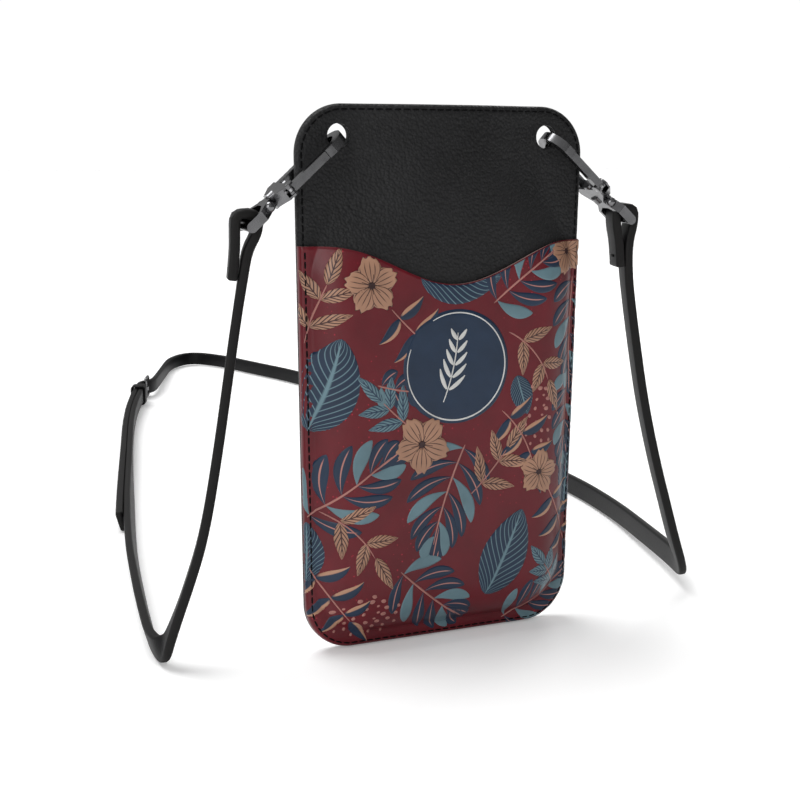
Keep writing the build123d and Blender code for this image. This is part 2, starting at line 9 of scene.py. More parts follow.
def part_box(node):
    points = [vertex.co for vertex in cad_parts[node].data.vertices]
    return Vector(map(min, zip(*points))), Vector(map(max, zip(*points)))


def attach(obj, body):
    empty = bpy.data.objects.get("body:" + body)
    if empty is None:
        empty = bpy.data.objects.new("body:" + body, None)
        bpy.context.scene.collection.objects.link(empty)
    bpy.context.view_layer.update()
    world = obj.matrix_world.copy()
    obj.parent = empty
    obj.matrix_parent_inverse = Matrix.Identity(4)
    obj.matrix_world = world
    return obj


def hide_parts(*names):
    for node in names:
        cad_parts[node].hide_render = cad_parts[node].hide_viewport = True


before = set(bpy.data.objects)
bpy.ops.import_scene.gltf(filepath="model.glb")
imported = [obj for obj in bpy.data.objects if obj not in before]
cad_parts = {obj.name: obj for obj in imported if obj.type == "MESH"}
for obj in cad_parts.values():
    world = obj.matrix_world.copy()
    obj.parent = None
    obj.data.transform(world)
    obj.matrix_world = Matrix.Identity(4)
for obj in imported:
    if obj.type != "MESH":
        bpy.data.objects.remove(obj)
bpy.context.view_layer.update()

bl_info = {
    "name": "Crossbody phone sleeve",
    "version": (1, 0, 0),
    "blender": (4, 5, 0),
    "location": "View3D > Sidebar > Phone sleeve",
    "description": "Dresses the phone sleeve's frame in leather, print, stitching and metal",
    "category": "Object",
}

MM = 0.001

# ---------------------------------------------------------------- sizes read from the frame
BACK_LOW, BACK_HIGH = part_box("back_panel")
POCKET_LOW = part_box("card_pocket")[0]
CASE_HEIGHT = (BACK_HIGH[2] - BACK_LOW[2]) / MM
BACK_Y = BACK_HIGH[1] / MM
FRONT_Y = POCKET_LOW[1] / MM

# Skins of the case in millimetres, counted forward from the flat back half.
TOP_WIDTH = 110.0
BOTTOM_WIDTH = 104.0
OUTLINE_CORNER = 17.0
FLAT = 1.9
POCKET_LEVEL = 3.6
RISE = BACK_Y - FRONT_Y - FLAT - POCKET_LEVEL
WAVE_HIGH = 142.9
WAVE_LOW = 129.4
WAVE_HALF = 46.0
HOLES = ((-39.7, 179.4), (39.7, 179.4))
HOLE_RADIUS = 4.15
STRAP_WIDTH = 9.4
STRAP_THICK = 3.3


# ---------------------------------------------------------------- mesh helpers
def smooth_step(t):
    """Eased ramp from 0 to 1: three t squared less two t cubed, held outside 0 to 1."""
    t = np.clip(t, 0.0, 1.0)
    return t * t * (3 - 2 * t)


def new_piece(name, points, faces, body, material):
    """Puts points (in millimetres) and faces into a mesh object that rides on a body."""
    mesh = bpy.data.meshes.new(name)
    points = np.asarray(points, dtype=float).reshape(-1, 3) * MM
    faces = [tuple(int(i) for i in f) for f in faces] if not isinstance(faces, np.ndarray) else faces
    if isinstance(faces, np.ndarray):
        mesh.vertices.add(len(points))
        mesh.vertices.foreach_set("co", points.ravel())
        corners = faces.shape[1]
        mesh.loops.add(faces.size)
        mesh.loops.foreach_set("vertex_index", faces.ravel().astype(np.int32))
        mesh.polygons.add(len(faces))
        mesh.polygons.foreach_set("loop_start", np.arange(0, faces.size, corners, dtype=np.int32))
        mesh.polygons.foreach_set("loop_total", np.full(len(faces), corners, dtype=np.int32))
    else:
        mesh.from_pydata(points.tolist(), [], faces)
    mesh.update(calc_edges=True)
    mesh.validate()
    mesh.polygons.foreach_set("use_smooth", np.ones(len(mesh.polygons), dtype=bool))
    piece = bpy.data.objects.new(name, mesh)
    bpy.context.scene.collection.objects.link(piece)
    for one in material if isinstance(material, (list, tuple)) else [material]:
        mesh.materials.append(one)
    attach(piece, body)
    return piece


def grid_faces(rows, columns, wrap=False):
    """Quads between neighbouring rows and columns of a grid, joined round when wrap is set."""
    across = columns if wrap else columns - 1
    i, j = np.meshgrid(np.arange(rows - 1), np.arange(across), indexing="ij")
    k = (j + 1) % columns
    quads = np.stack([i * columns + j, i * columns + k, (i + 1) * columns + k, (i + 1) * columns + j], axis=-1)
    return quads.reshape(-1, 4)


def solid_skin(piece, thickness, rim=0):
    """Gives a sheet its thickness inward, as a closed solid."""
    skin = piece.modifiers.new("thickness", "SOLIDIFY")
    skin.thickness = thickness * MM
    skin.offset = -1.0
    skin.use_rim = True
    skin.material_offset_rim = rim
    return skin


def set_value(piece, name, values):
    """Stores one number per point of a mesh."""
    layer = piece.data.attributes.new(name, "FLOAT", "POINT")
    layer.data.foreach_set("value", np.asarray(values, dtype=np.float32).ravel())


# ---------------------------------------------------------------- the case's shape
def half_width(z):
    """Half the case's width at a height, narrowing steadily to the bottom."""
    return (BOTTOM_WIDTH + (TOP_WIDTH - BOTTOM_WIDTH) * z / CASE_HEIGHT) / 2


def rounded_inset(side, end, corner):
    """Distance inside a rounded corner, from the distances inside its side and its end."""
    a, b = corner - side, corner - end
    round_part = corner - np.hypot(np.maximum(a, 0), np.maximum(b, 0))
    return np.where((a > 0) & (b > 0), round_part, np.minimum(side, end))


def edge_inset(x, z):
    """How far inside the case's outline a point lies; negative outside it."""
    side = half_width(z) - np.abs(x)
    return rounded_inset(side, np.minimum(z, CASE_HEIGHT - z), OUTLINE_CORNER)


def front_rise(x, z, level):
    """How far the front stands forward of its rim over the phone's space.

    The distance inside the space's outline sets the rise. Low down it is steep at the foot and eases out
    flat; from the pocket's edge up it turns into a plain ease, narrows between the punched holes, and
    settles to a little over half at the open top.
    """
    grow = level * math.tan(math.pi / 8)
    upper = smooth_step((z - 122.0) / 40.0)
    side = half_width(z) - 5.0 + grow - 15.5 * smooth_step((z - 132.0) / 42.0) - np.abs(x)
    inside = rounded_inset(side, z - 7.0 + grow, 20.0)
    steep = 1 - (1 - np.clip(inside / 18.0, 0.0, 1.0)) ** 2.5
    soft = smooth_step((inside + 3.0) / 30.0)
    full = RISE * (1 - 0.42 * smooth_step((z - 148.0) / 44.0))
    return full * (steep * (1 - upper) + soft * upper)


def wave_height(x):
    """Height of the pocket's wavy edge: one cosine dip in the middle, level at both sides."""
    swing = (WAVE_HIGH - WAVE_LOW) / 2
    share = np.clip(np.abs(x) / WAVE_HALF, 0, 1)
    return WAVE_HIGH - swing - swing * np.cos(np.pi * share)


def seam_groove(inset):
    """Shallow dent that the stitching pulls into the leather along the seam line."""
    return 0.26 * np.exp(-(((inset - 1.8) / 0.7) ** 2))


def front_point(x, z, level, roll, reach, lift=0.0):
    """Place on the front for a point of the flat pattern.

    Inside the outline the point keeps its x and z and stands forward by the rise. Near the outline the
    leather rolls back over a quarter circle of radius roll, then runs straight back, up to reach.
    """
    inset = edge_inset(x, z)
    step = 0.05
    nx = (edge_inset(x + step, z) - edge_inset(x - step, z)) / (2 * step)
    nz = (edge_inset(x, z + step) - edge_inset(x, z - step)) / (2 * step)
    size = np.maximum(np.hypot(nx, nz), 1e-6)
    nx, nz = nx / size, nz / size
    past = np.maximum(roll - inset, 0.0)
    turn = np.minimum(past / roll, math.pi / 2)
    drawn = np.where(inset >= roll, inset, roll * (1 - np.sin(turn)))
    back = roll * (1 - np.cos(turn)) + np.maximum(past - roll * math.pi / 2, 0.0)
    back = np.minimum(back, reach)
    px = x + nx * (drawn - inset - lift * np.sin(turn))
    pz = z + nz * (drawn - inset - lift * np.sin(turn))
    forward = FLAT + level + front_rise(px, pz, level) - back - seam_groove(drawn) + lift * np.cos(turn)
    return np.stack([px, BACK_Y - forward, pz], axis=-1)


def pattern_row_half(z, over):
    """Half width of the flat pattern at a height, cut wider than the case by over, corners rounded."""
    corner = OUTLINE_CORNER + over
    away = np.minimum(z + over, CASE_HEIGHT + over - z)
    drop = np.clip(corner - away, 0.0, corner)
    return half_width(z) + over - corner + np.sqrt(np.maximum(corner**2 - drop**2, 0.0))


def eased(count, low, high, power=1.6):
    """Numbers from low to high, closer together at both ends."""
    t = np.linspace(-1, 1, count)
    t = np.sign(t) * (1 - (1 - np.abs(t)) ** power)
    return low + (high - low) * (t + 1) / 2


def punch(x, z, faces, centre, radius):
    """Opens a round hole in a flat pattern: faces inside go, and the points left at its edge move onto it."""
    away = np.hypot(x - centre[0], z - centre[1])
    inside = away < radius
    count = inside[faces].sum(axis=1)
    edge = np.unique(faces[(count > 0) & (count < 4)])
    edge = edge[inside[edge]]
    scale = radius / np.maximum(away[edge], 1e-6)
    x[edge] = centre[0] + (x[edge] - centre[0]) * scale
    z[edge] = centre[1] + (z[edge] - centre[1]) * scale
    return faces[count < 4]


def drop_unused(points, faces):
    """Leaves out points that no face uses."""
    used, back = np.unique(faces, return_inverse=True)
    return points[used], back.reshape(faces.shape)


# ---------------------------------------------------------------- materials
def node_tree(name):
    """A material with an empty node tree, its output and one Principled shader."""
    material = bpy.data.materials.new(name)
    material.use_nodes = True
    tree = material.node_tree
    tree.nodes.clear()
    shader = tree.nodes.new("ShaderNodeBsdfPrincipled")
    output = tree.nodes.new("ShaderNodeOutputMaterial")
    tree.links.new(shader.outputs["BSDF"], output.inputs["Surface"])
    return material, tree, shader


def node(tree, kind, inputs=None, **settings):
    """Adds a node, sets it and links or fills its inputs."""
    new = tree.nodes.new(kind)
    for key, value in settings.items():
        setattr(new, key, value)
    for key, value in (inputs or {}).items():
        socket = new.inputs[key]
        if isinstance(value, bpy.types.NodeSocket):
            tree.links.new(value, socket)
        else:
            socket.default_value = value
    return new


def math_node(tree, operation, a, b=0.0, c=0.0):
    """One Math node's value."""
    return node(tree, "ShaderNodeMath", {0: a, 1: b, 2: c}, operation=operation).outputs[0]


def mix_colours(tree, factor, a, b):
    """Blend of two colours."""
    mixed = node(tree, "ShaderNodeMix", data_type="RGBA")
    for index, value in ((0, factor), (6, a), (7, b)):
        if isinstance(value, bpy.types.NodeSocket):
            tree.links.new(value, mixed.inputs[index])
        else:
            mixed.inputs[index].default_value = value
    return mixed.outputs[2]


def ramp(tree, value, low, high):
    """Straight ramp of a value from 0 at low to 1 at high, held outside."""
    mapped = node(tree, "ShaderNodeMapRange", {0: value, 1: low, 2: high, 3: 0.0, 4: 1.0}, clamp=True)
    return mapped.outputs[0]


def rgb(values):
    """A colour with full alpha."""
    return (values[0], values[1], values[2], 1.0)


def build_grain():
    """Leather grain: pebbles from Voronoi cells, broken up by noise. Gives a height and a mottle."""
    tree = bpy.data.node_groups.new("leather grain", "ShaderNodeTree")
    tree.interface.new_socket("Pebbles per metre", in_out="INPUT", socket_type="NodeSocketFloat")
    tree.interface.new_socket("Height", in_out="OUTPUT", socket_type="NodeSocketFloat")
    tree.interface.new_socket("Mottle", in_out="OUTPUT", socket_type="NodeSocketFloat")
    entry, leave = tree.nodes.new("NodeGroupInput"), tree.nodes.new("NodeGroupOutput")
    where = node(tree, "ShaderNodeTexCoord").outputs["Object"]
    sway = node(tree, "ShaderNodeTexNoise", {"Vector": where, "Scale": 420.0, "Detail": 2.0}).outputs["Color"]
    shift = node(tree, "ShaderNodeVectorMath", {0: sway, "Scale": 0.0009}, operation="SCALE").outputs[0]
    moved = node(tree, "ShaderNodeVectorMath", {0: where, 1: shift}, operation="ADD").outputs[0]
    cells = node(
        tree,
        "ShaderNodeTexVoronoi",
        {"Vector": moved, "Scale": entry.outputs[0], "Smoothness": 0.35},
        feature="SMOOTH_F1",
    ).outputs["Distance"]
    fine_scale = math_node(tree, "MULTIPLY", entry.outputs[0], 3.1)
    fine = node(tree, "ShaderNodeTexNoise", {"Vector": moved, "Scale": fine_scale, "Detail": 3.0}).outputs[0]
    domed = math_node(tree, "SUBTRACT", 1.0, math_node(tree, "POWER", cells, 1.6))
    height = math_node(tree, "ADD", domed, math_node(tree, "MULTIPLY", fine, 0.22))
    tree.links.new(height, leave.inputs["Height"])
    mottle = node(tree, "ShaderNodeTexNoise", {"Vector": where, "Scale": 38.0, "Detail": 4.0}).outputs[0]
    tree.links.new(mottle, leave.inputs["Mottle"])
    return tree


def build_thread_twist():
    """Twisted thread: slanting ridges from a wave. Gives a height."""
    tree = bpy.data.node_groups.new("thread twist", "ShaderNodeTree")
    tree.interface.new_socket("Ridges per metre", in_out="INPUT", socket_type="NodeSocketFloat")
    tree.interface.new_socket("Height", in_out="OUTPUT", socket_type="NodeSocketFloat")
    entry, leave = tree.nodes.new("NodeGroupInput"), tree.nodes.new("NodeGroupOutput")
    where = node(tree, "ShaderNodeTexCoord").outputs["Object"]
    ridges = node(
        tree, "ShaderNodeTexWave", {"Vector": where, "Scale": entry.outputs[0], "Distortion": 1.5},
        bands_direction="DIAGONAL",
    ).outputs["Fac"]
    tree.links.new(ridges, leave.inputs["Height"])
    return tree


def grain(tree, per_metre):
    """The leather grain group placed in a material."""
    group = bpy.data.node_groups.get("leather grain") or build_grain()
    placed = node(tree, "ShaderNodeGroup", node_tree=group)
    placed.inputs[0].default_value = per_metre
    return placed.outputs["Height"], placed.outputs["Mottle"]


def bump(tree, shader, height, strength, depth):
    """Bump from a height, into the shader's normal."""
    bumped = node(tree, "ShaderNodeBump", {"Height": height, "Strength": strength, "Distance": depth})
    tree.links.new(bumped.outputs["Normal"], shader.inputs["Normal"])


def leather(name, colour, light, per_metre, strength, roughness, sheen=0.0):
    """Dyed leather: grain bump, mottled colour, roughness that follows the grain."""
    if name in bpy.data.materials:
        return bpy.data.materials[name]
    material, tree, shader = node_tree(name)
    height, mottle = grain(tree, per_metre)
    tone = mix_colours(tree, ramp(tree, mottle, 0.35, 0.65), rgb(colour), rgb(light))
    # Lighter colour on the grain's raised tops.
    raised_tops = mix_colours(tree, ramp(tree, height, 0.9, 1.15), tone, rgb([c * 1.5 + 0.004 for c in light]))
    tree.links.new(raised_tops, shader.inputs["Base Color"])
    rough = math_node(tree, "MULTIPLY_ADD", mottle, 0.16, roughness - 0.08)
    tree.links.new(rough, shader.inputs["Roughness"])
    shader.inputs["Specular IOR Level"].default_value = 0.22
    shader.inputs["Sheen Weight"].default_value = sheen
    shader.inputs["Sheen Roughness"].default_value = 0.5
    bump(tree, shader, height, strength, 0.0003)
    return material


def gunmetal(name="gunmetal plating", colour=(0.17, 0.17, 0.175), roughness=0.2):
    """Polished dark plating: metal with faint brushing and handling haze."""
    if name in bpy.data.materials:
        return bpy.data.materials[name]
    material, tree, shader = node_tree(name)
    where = node(tree, "ShaderNodeTexCoord").outputs["Object"]
    haze = node(tree, "ShaderNodeTexNoise", {"Vector": where, "Scale": 260.0, "Detail": 4.0}).outputs[0]
    brush = node(tree, "ShaderNodeTexNoise", {"Vector": where, "Scale": 2400.0, "Detail": 1.0}).outputs[0]
    tone = mix_colours(tree, ramp(tree, haze, 0.3, 0.7), rgb(colour), rgb([c * 1.35 for c in colour]))
    tree.links.new(tone, shader.inputs["Base Color"])
    rough = math_node(tree, "MULTIPLY_ADD", haze, 0.14, roughness - 0.07)
    tree.links.new(rough, shader.inputs["Roughness"])
    shader.inputs["Metallic"].default_value = 1.0
    bump(tree, shader, brush, 0.05, 0.00003)
    return material


def woven_lining():
    """Fine twill lining: crossed waves as ribs, dark grey."""
    name = "twill lining"
    if name in bpy.data.materials:
        return bpy.data.materials[name]
    material, tree, shader = node_tree(name)
    where = node(tree, "ShaderNodeTexCoord").outputs["Object"]
    ribs = node(
        tree, "ShaderNodeTexWave", {"Vector": where, "Scale": 700.0, "Distortion": 0.4},
        bands_direction="DIAGONAL",
    )
    rows = node(tree, "ShaderNodeTexWave", {"Vector": where, "Scale": 1100.0}, bands_direction="Z")
    weave = math_node(tree, "MULTIPLY", ribs.outputs["Fac"], rows.outputs["Fac"])
    tone = mix_colours(tree, weave, rgb((0.012, 0.012, 0.014)), rgb((0.05, 0.05, 0.055)))
    tree.links.new(tone, shader.inputs["Base Color"])
    rough = math_node(tree, "MULTIPLY_ADD", weave, -0.1, 0.85)
    tree.links.new(rough, shader.inputs["Roughness"])
    bump(tree, shader, weave, 0.4, 0.0001)
    return material


def thread(name, colour):
    """Waxed sewing thread with its twist, darkened in the twist's grooves as painted shade."""
    if name in bpy.data.materials:
        return bpy.data.materials[name]
    material, tree, shader = node_tree(name)
    group = bpy.data.node_groups.get("thread twist") or build_thread_twist()
    placed = node(tree, "ShaderNodeGroup", node_tree=group)
    placed.inputs[0].default_value = 900.0
    # Painted shade: the colour drops to 0.55 of itself in the twist's grooves.
    tone = mix_colours(tree, placed.outputs["Height"], rgb([c * 0.55 for c in colour]), rgb(colour))
    tree.links.new(tone, shader.inputs["Base Color"])
    rough = math_node(tree, "MULTIPLY_ADD", placed.outputs["Height"], -0.15, 0.6)
    tree.links.new(rough, shader.inputs["Roughness"])
    shader.inputs["Specular IOR Level"].default_value = 0.08
    bump(tree, shader, placed.outputs["Height"], 0.5, 0.00008)
    return material


def printed(name, colour, partner, kind, roughness=0.34):
    """Printed leather ink: a colour varied by kind.

    ground is clouded and speckled; banana and herringbone have slanting veins each side of a midrib;
    petal has streaks from its foot and a drawn border; frond has one coloured edge; finger has one
    thin vein; plain is only clouded. They read the motif's own UV map, u along and v across.
    """
    if name in bpy.data.materials:
        return bpy.data.materials[name]
    material, tree, shader = node_tree(name)
    where = node(tree, "ShaderNodeTexCoord").outputs["Object"]
    cloud = node(tree, "ShaderNodeTexNoise", {"Vector": where, "Scale": 95.0, "Detail": 5.0}).outputs[0]
    fleck = node(tree, "ShaderNodeTexNoise", {"Vector": where, "Scale": 900.0, "Detail": 2.0}).outputs[0]
    tone = mix_colours(tree, ramp(tree, cloud, 0.3, 0.72), rgb(colour), rgb([c * 0.72 for c in colour]))
    if kind in ("banana", "herringbone", "petal", "frond", "finger"):
        flat = node(tree, "ShaderNodeUVMap", uv_map="motif").outputs[0]
        split = node(tree, "ShaderNodeSeparateXYZ", {0: flat})
        along, across = split.outputs[0], split.outputs[1]
        off = math_node(tree, "ABSOLUTE", math_node(tree, "MULTIPLY_ADD", across, 2.0, -1.0))
    if kind in ("banana", "herringbone"):
        count, lean, share, rib = {"banana": (12.0, 4.0, 0.08, 0.03), "herringbone": (6.5, 2.2, 0.17, 0.06)}[kind]
        slant = math_node(tree, "MULTIPLY_ADD", off, -lean, math_node(tree, "MULTIPLY", along, count))
        wave = math_node(tree, "FRACT", math_node(tree, "ADD", slant, 40.0))
        swing = math_node(tree, "ABSOLUTE", math_node(tree, "SUBTRACT", wave, 0.5))
        stripe = math_node(tree, "SUBTRACT", 1.0, ramp(tree, swing, share - 0.05, share + 0.05))
        middle = math_node(tree, "SUBTRACT", 1.0, ramp(tree, off, rib, rib + 0.05))
        border = ramp(tree, off, 0.9, 0.98) if kind == "herringbone" else 0.0
        drawn = math_node(tree, "MAXIMUM", math_node(tree, "MAXIMUM", stripe, middle), border)
        tone = mix_colours(tree, drawn, tone, rgb(partner))
    if kind == "petal":
        wave = math_node(tree, "FRACT", math_node(tree, "MULTIPLY", across, 5.0))
        swing = math_node(tree, "ABSOLUTE", math_node(tree, "SUBTRACT", wave, 0.5))
        stripe = math_node(tree, "SUBTRACT", 1.0, ramp(tree, swing, 0.04, 0.13))
        stripe = math_node(tree, "MULTIPLY", stripe, ramp(tree, along, 0.82, 0.6))
        border = math_node(tree, "MAXIMUM", ramp(tree, off, 0.86, 0.93), ramp(tree, along, 0.93, 0.96))
        drawn = math_node(tree, "MAXIMUM", stripe, border)
        tone = mix_colours(tree, drawn, tone, rgb(partner))
    if kind == "frond":
        edge = math_node(tree, "MULTIPLY", ramp(tree, across, 0.62, 0.7), ramp(tree, along, 0.05, 0.15))
        tone = mix_colours(tree, edge, tone, rgb(partner))
    if kind == "finger":
        vein = math_node(tree, "SUBTRACT", 1.0, ramp(tree, off, 0.05, 0.11))
        drawn = math_node(tree, "MULTIPLY", vein, ramp(tree, along, 0.92, 0.8))
        tone = mix_colours(tree, drawn, tone, rgb(partner))
    if kind == "ground":
        dots = node(tree, "ShaderNodeTexVoronoi", {"Vector": where, "Scale": 520.0, "Randomness": 1.0}).outputs[0]
        patch = node(tree, "ShaderNodeTexNoise", {"Vector": where, "Scale": 42.0, "Detail": 1.0}).outputs[0]
        spot = math_node(tree, "SUBTRACT", 1.0, ramp(tree, dots, 0.1, 0.2))
        spot = math_node(tree, "MULTIPLY", spot, ramp(tree, patch, 0.54, 0.6))
        tone = mix_colours(tree, spot, tone, rgb(partner))
    tree.links.new(tone, shader.inputs["Base Color"])
    rough = math_node(tree, "MULTIPLY_ADD", fleck, 0.14, roughness - 0.07)
    tree.links.new(rough, shader.inputs["Roughness"])
    shader.inputs["Specular IOR Level"].default_value = 0.32
    shader.inputs["Coat Weight"].default_value = 0.1
    shader.inputs["Coat Roughness"].default_value = 0.25
    height, _ = grain(tree, 1500.0)
    bump(tree, shader, height, 0.12, 0.0001)
    return material


def floor_material():
    """Pale studio floor with the faintest mottling."""
    material, tree, shader = node_tree("studio floor")
    where = node(tree, "ShaderNodeTexCoord").outputs["Object"]
    mottle = node(tree, "ShaderNodeTexNoise", {"Vector": where, "Scale": 3.0, "Detail": 2.0}).outputs[0]
    tone = mix_colours(tree, mottle, rgb((0.93, 0.93, 0.93)), rgb((0.95, 0.95, 0.95)))
    tree.links.new(tone, shader.inputs["Base Color"])
    shader.inputs["Roughness"].default_value = 0.8
    shader.inputs["Specular IOR Level"].default_value = 0.1
    seen = node(tree, "ShaderNodeLightPath").outputs["Is Camera Ray"]
    shader.inputs["Emission Color"].default_value = (1.0, 1.0, 1.0, 1.0)
    tree.links.new(math_node(tree, "MULTIPLY", seen, 0.2), shader.inputs["Emission Strength"])
    return material


def strap_leather():
    """Smooth black strap leather, its cut edges a little greyer."""
    name = "strap leather"
    if name in bpy.data.materials:
        return bpy.data.materials[name]
    material, tree, shader = node_tree(name)
    height, mottle = grain(tree, 1300.0)
    settings = bpy.context.scene.sleeve_leather
    tone = mix_colours(
        tree, ramp(tree, mottle, 0.35, 0.65), rgb(settings.strap_colour),
        rgb([c * 1.4 for c in settings.strap_colour]),
    )
    edge = node(tree, "ShaderNodeAttribute", attribute_name="cut_edge").outputs["Fac"]
    tone = mix_colours(tree, edge, tone, rgb((0.012, 0.0115, 0.0115)))
    tree.links.new(tone, shader.inputs["Base Color"])
    rough = math_node(tree, "MULTIPLY_ADD", edge, 0.12, 0.46)
    tree.links.new(rough, shader.inputs["Roughness"])
    shader.inputs["Specular IOR Level"].default_value = 0.16
    bump(tree, shader, height, 0.22, 0.00012)
    return material


# ---------------------------------------------------------------- strap routes, in millimetres
SHORT_ROUTE = [
    (-77.5, 3.4, 133.0), (-76.5, 3.4, 141.5), (-76.4, 3.4, 147.0), (-76.3, 3.4, 153.8), (-72.4, 3.4, 154.2),
    (-68.5, 3.4, 153.8), (-68.6, 3.4, 148.3), (-72.3, 3.4, 142.2), (-73.8, 3.4, 133.0), (-76.6, 3.4, 117.0),
    (-79.4, 3.4, 99.5), (-83.7, 3.4, 72.6), (-88.5, 3.6, 47.0), (-93.6, 5.0, 30.0), (-98.4, 7.6, 15.0),
    (-101.6, 10.2, 4.9), (-102.8, 22.0, 5.0), (-99.8, 42.0, 5.0), (-94.4, 75.0, 5.0),
    (-80.6, 150.0, 5.0), (-46.0, 295.0, 5.0),
    (-20.0, 400.0, 5.8), (0.8, 466.5, 7.3), (12.0, 495.9, 7.3),
]
LONG_ROUTE = [
    (71.2, 3.4, 133.0), (70.6, 3.4, 141.0), (68.9, 3.4, 147.5), (68.6, 3.4, 153.8), (72.4, 3.4, 154.2),
    (76.3, 3.4, 153.8), (76.3, 3.4, 148.3), (74.4, 3.4, 141.2), (74.9, 3.4, 131.0), (76.8, 3.4, 119.0),
    (79.8, 3.4, 103.0), (84.3, 3.4, 81.0), (90.6, 3.4, 58.0), (96.6, 3.6, 40.0), (102.4, 5.0, 24.6),
    (107.8, 7.8, 15.0), (112.4, 12.4, 9.4), (118.0, 26.0, 9.0), (129.0, 60.0, 7.2), (144.2, 111.5, 5.2),
    (152.0, 165.0, 5.0), (155.0, 290.0, 5.0), (148.0, 410.0, 5.0), (134.0, 515.0, 5.0), (117.0, 568.0, 5.0),
    (102.0, 618.0, 5.0), (84.0, 640.0, 5.0), (62.0, 617.0, 5.2), (47.4, 579.2, 5.6), (30.0, 531.0, 7.3),
    (22.0, 512.0, 7.3), (11.8, 506.8, 7.3), (8.6, 496.8, 7.3), (-2.4, 467.7, 7.3), (-23.2, 401.0, 5.8),
    (-49.3, 295.8, 5.0), (-75.6, 186.0, 5.0), (-76.8, 181.0, 5.0),
]


def route_line(points, spacing):
    """Evenly spaced points along the smooth NURBS line that a route's points control."""
    curve = bpy.data.curves.new("route", "CURVE")
    curve.dimensions = "3D"
    curve.resolution_u = 32
    spline = curve.splines.new("NURBS")
    spline.points.add(len(points) - 1)
    spline.points.foreach_set("co", np.c_[np.array(points) * MM, np.ones(len(points))].ravel())
    spline.order_u = 3
    spline.use_endpoint_u = True
    carrier = bpy.data.objects.new("route", curve)
    mesh = bpy.data.meshes.new_from_object(carrier)
    line = np.empty(len(mesh.vertices) * 3)
    mesh.vertices.foreach_get("co", line)
    line = line.reshape(-1, 3) / MM
    bpy.data.objects.remove(carrier)
    bpy.data.curves.remove(curve)
    bpy.data.meshes.remove(mesh)
    walk = np.r_[0, np.cumsum(np.linalg.norm(np.diff(line, axis=0), axis=1))]
    even = np.linspace(0, walk[-1], int(walk[-1] / spacing) + 1)
    return np.stack([np.interp(even, walk, line[:, k]) for k in range(3)], axis=1), even


def unit(vectors):
    """Vectors of length one."""
    return vectors / np.maximum(np.linalg.norm(vectors, axis=-1, keepdims=True), 1e-9)


def across_line(line, even, keys, low_point):
    """The band's width direction along its line, kept square to it.

    It eases between keyed directions down the hanging leg and stands upright on the floor, leaning out a
    little on the left while it is near the case. Between them
    the band turns in the plane of its own face: its face direction eases from one to the other, and the
    width is that face direction crossed with the line.
    """
    at = np.array([k[0] for k in keys])
    ways = unit(np.array([k[1] for k in keys], dtype=float))
    place = np.clip(np.interp(even, at, np.arange(len(at))), 0, len(at) - 1)
    low = np.minimum(place.astype(int), len(at) - 2)
    t = smooth_step(place - low)[:, None]
    along = unit(np.gradient(line, axis=0))
    square = lambda way: unit(way - (way * along).sum(axis=1, keepdims=True) * along)
    hanging = square(ways[low] * (1 - t) + ways[low + 1] * t)
    lean = 0.29 * (1 - smooth_step((line[:, 1] - 190.0) / 150.0)) * (line[:, 0] < 0)
    upright = square(np.stack([-lean, 0 * lean, np.ones_like(lean)], axis=1))
    first = int(np.argmax((even > low_point[0]) & (line[:, 2] < low_point[1])))
    last = int(np.argmax((even > even[first]) & (line[:, 1] > low_point[2])))
    ease = smooth_step((even - even[first]) / (even[last] - even[first]))[:, None]
    face = unit(np.cross(along[first], hanging[first]) * (1 - ease) + np.cross(along[last], upright[last]) * ease)
    turning = unit(np.cross(face, along))
    index = np.arange(len(line))[:, None]
    return np.where(index < first, hanging, np.where(index > last, upright, turning)), along


def band_section(width, thick, corner, count=5):
    """Points round a rounded rectangle, and 1 where a point is on the cut edge."""
    a = np.linspace(0, math.pi / 2, count)
    quarter = np.stack([np.cos(a), np.sin(a)], axis=1) * corner
    spots = []
    for turn, sx, sy in ((0, 1, 1), (1, -1, 1), (2, -1, -1), (3, 1, -1)):
        c, s = round(math.cos(turn * math.pi / 2)), round(math.sin(turn * math.pi / 2))
        spots.append(quarter @ np.array([[c, s], [-s, c]]) + [sx * (width / 2 - corner), sy * (thick / 2 - corner)])
    ring = np.concatenate(spots)
    edge = smooth_step((np.abs(ring[:, 0]) - width / 2 + corner) / corner * 1.3)
    return ring, edge


def carried_band(name, line, even, keys, low_point, body, material, width, thick=STRAP_THICK, corner=1.1):
    """A rounded band: its section carried along a line, with closed, slightly rounded ends."""
    across, along = across_line(line, even, keys, low_point)
    face = np.cross(along, across)
    ring, edge = band_section(width, thick, corner)
    scale = np.ones(len(line))
    body_points = (
        line[:, None] + across[:, None] * ring[None, :, :1] * scale[:, None, None]
        + face[:, None] * ring[None, :, 1:]
    )
    shrunk = ring * [1 - 0.5 / width * 2, 1 - 0.5 / thick * 2]
    caps = []
    for end, way in ((0, -1), (-1, 1)):
        caps.append(line[end] + along[end] * way * 0.45 + across[end] * shrunk[:, :1] + face[end] * shrunk[:, 1:])
    rows = np.concatenate([caps[0][None], body_points, caps[1][None]])
    count = len(ring)
    faces = [tuple(f) for f in grid_faces(len(rows), count, True).tolist()]
    faces.append(tuple(range(count - 1, -1, -1)))
    faces.append(tuple(range((len(rows) - 1) * count, len(rows) * count)))
    piece = new_piece(name, rows, faces, body, material)
    set_value(piece, "cut_edge", np.tile(edge, len(rows)))
    return piece


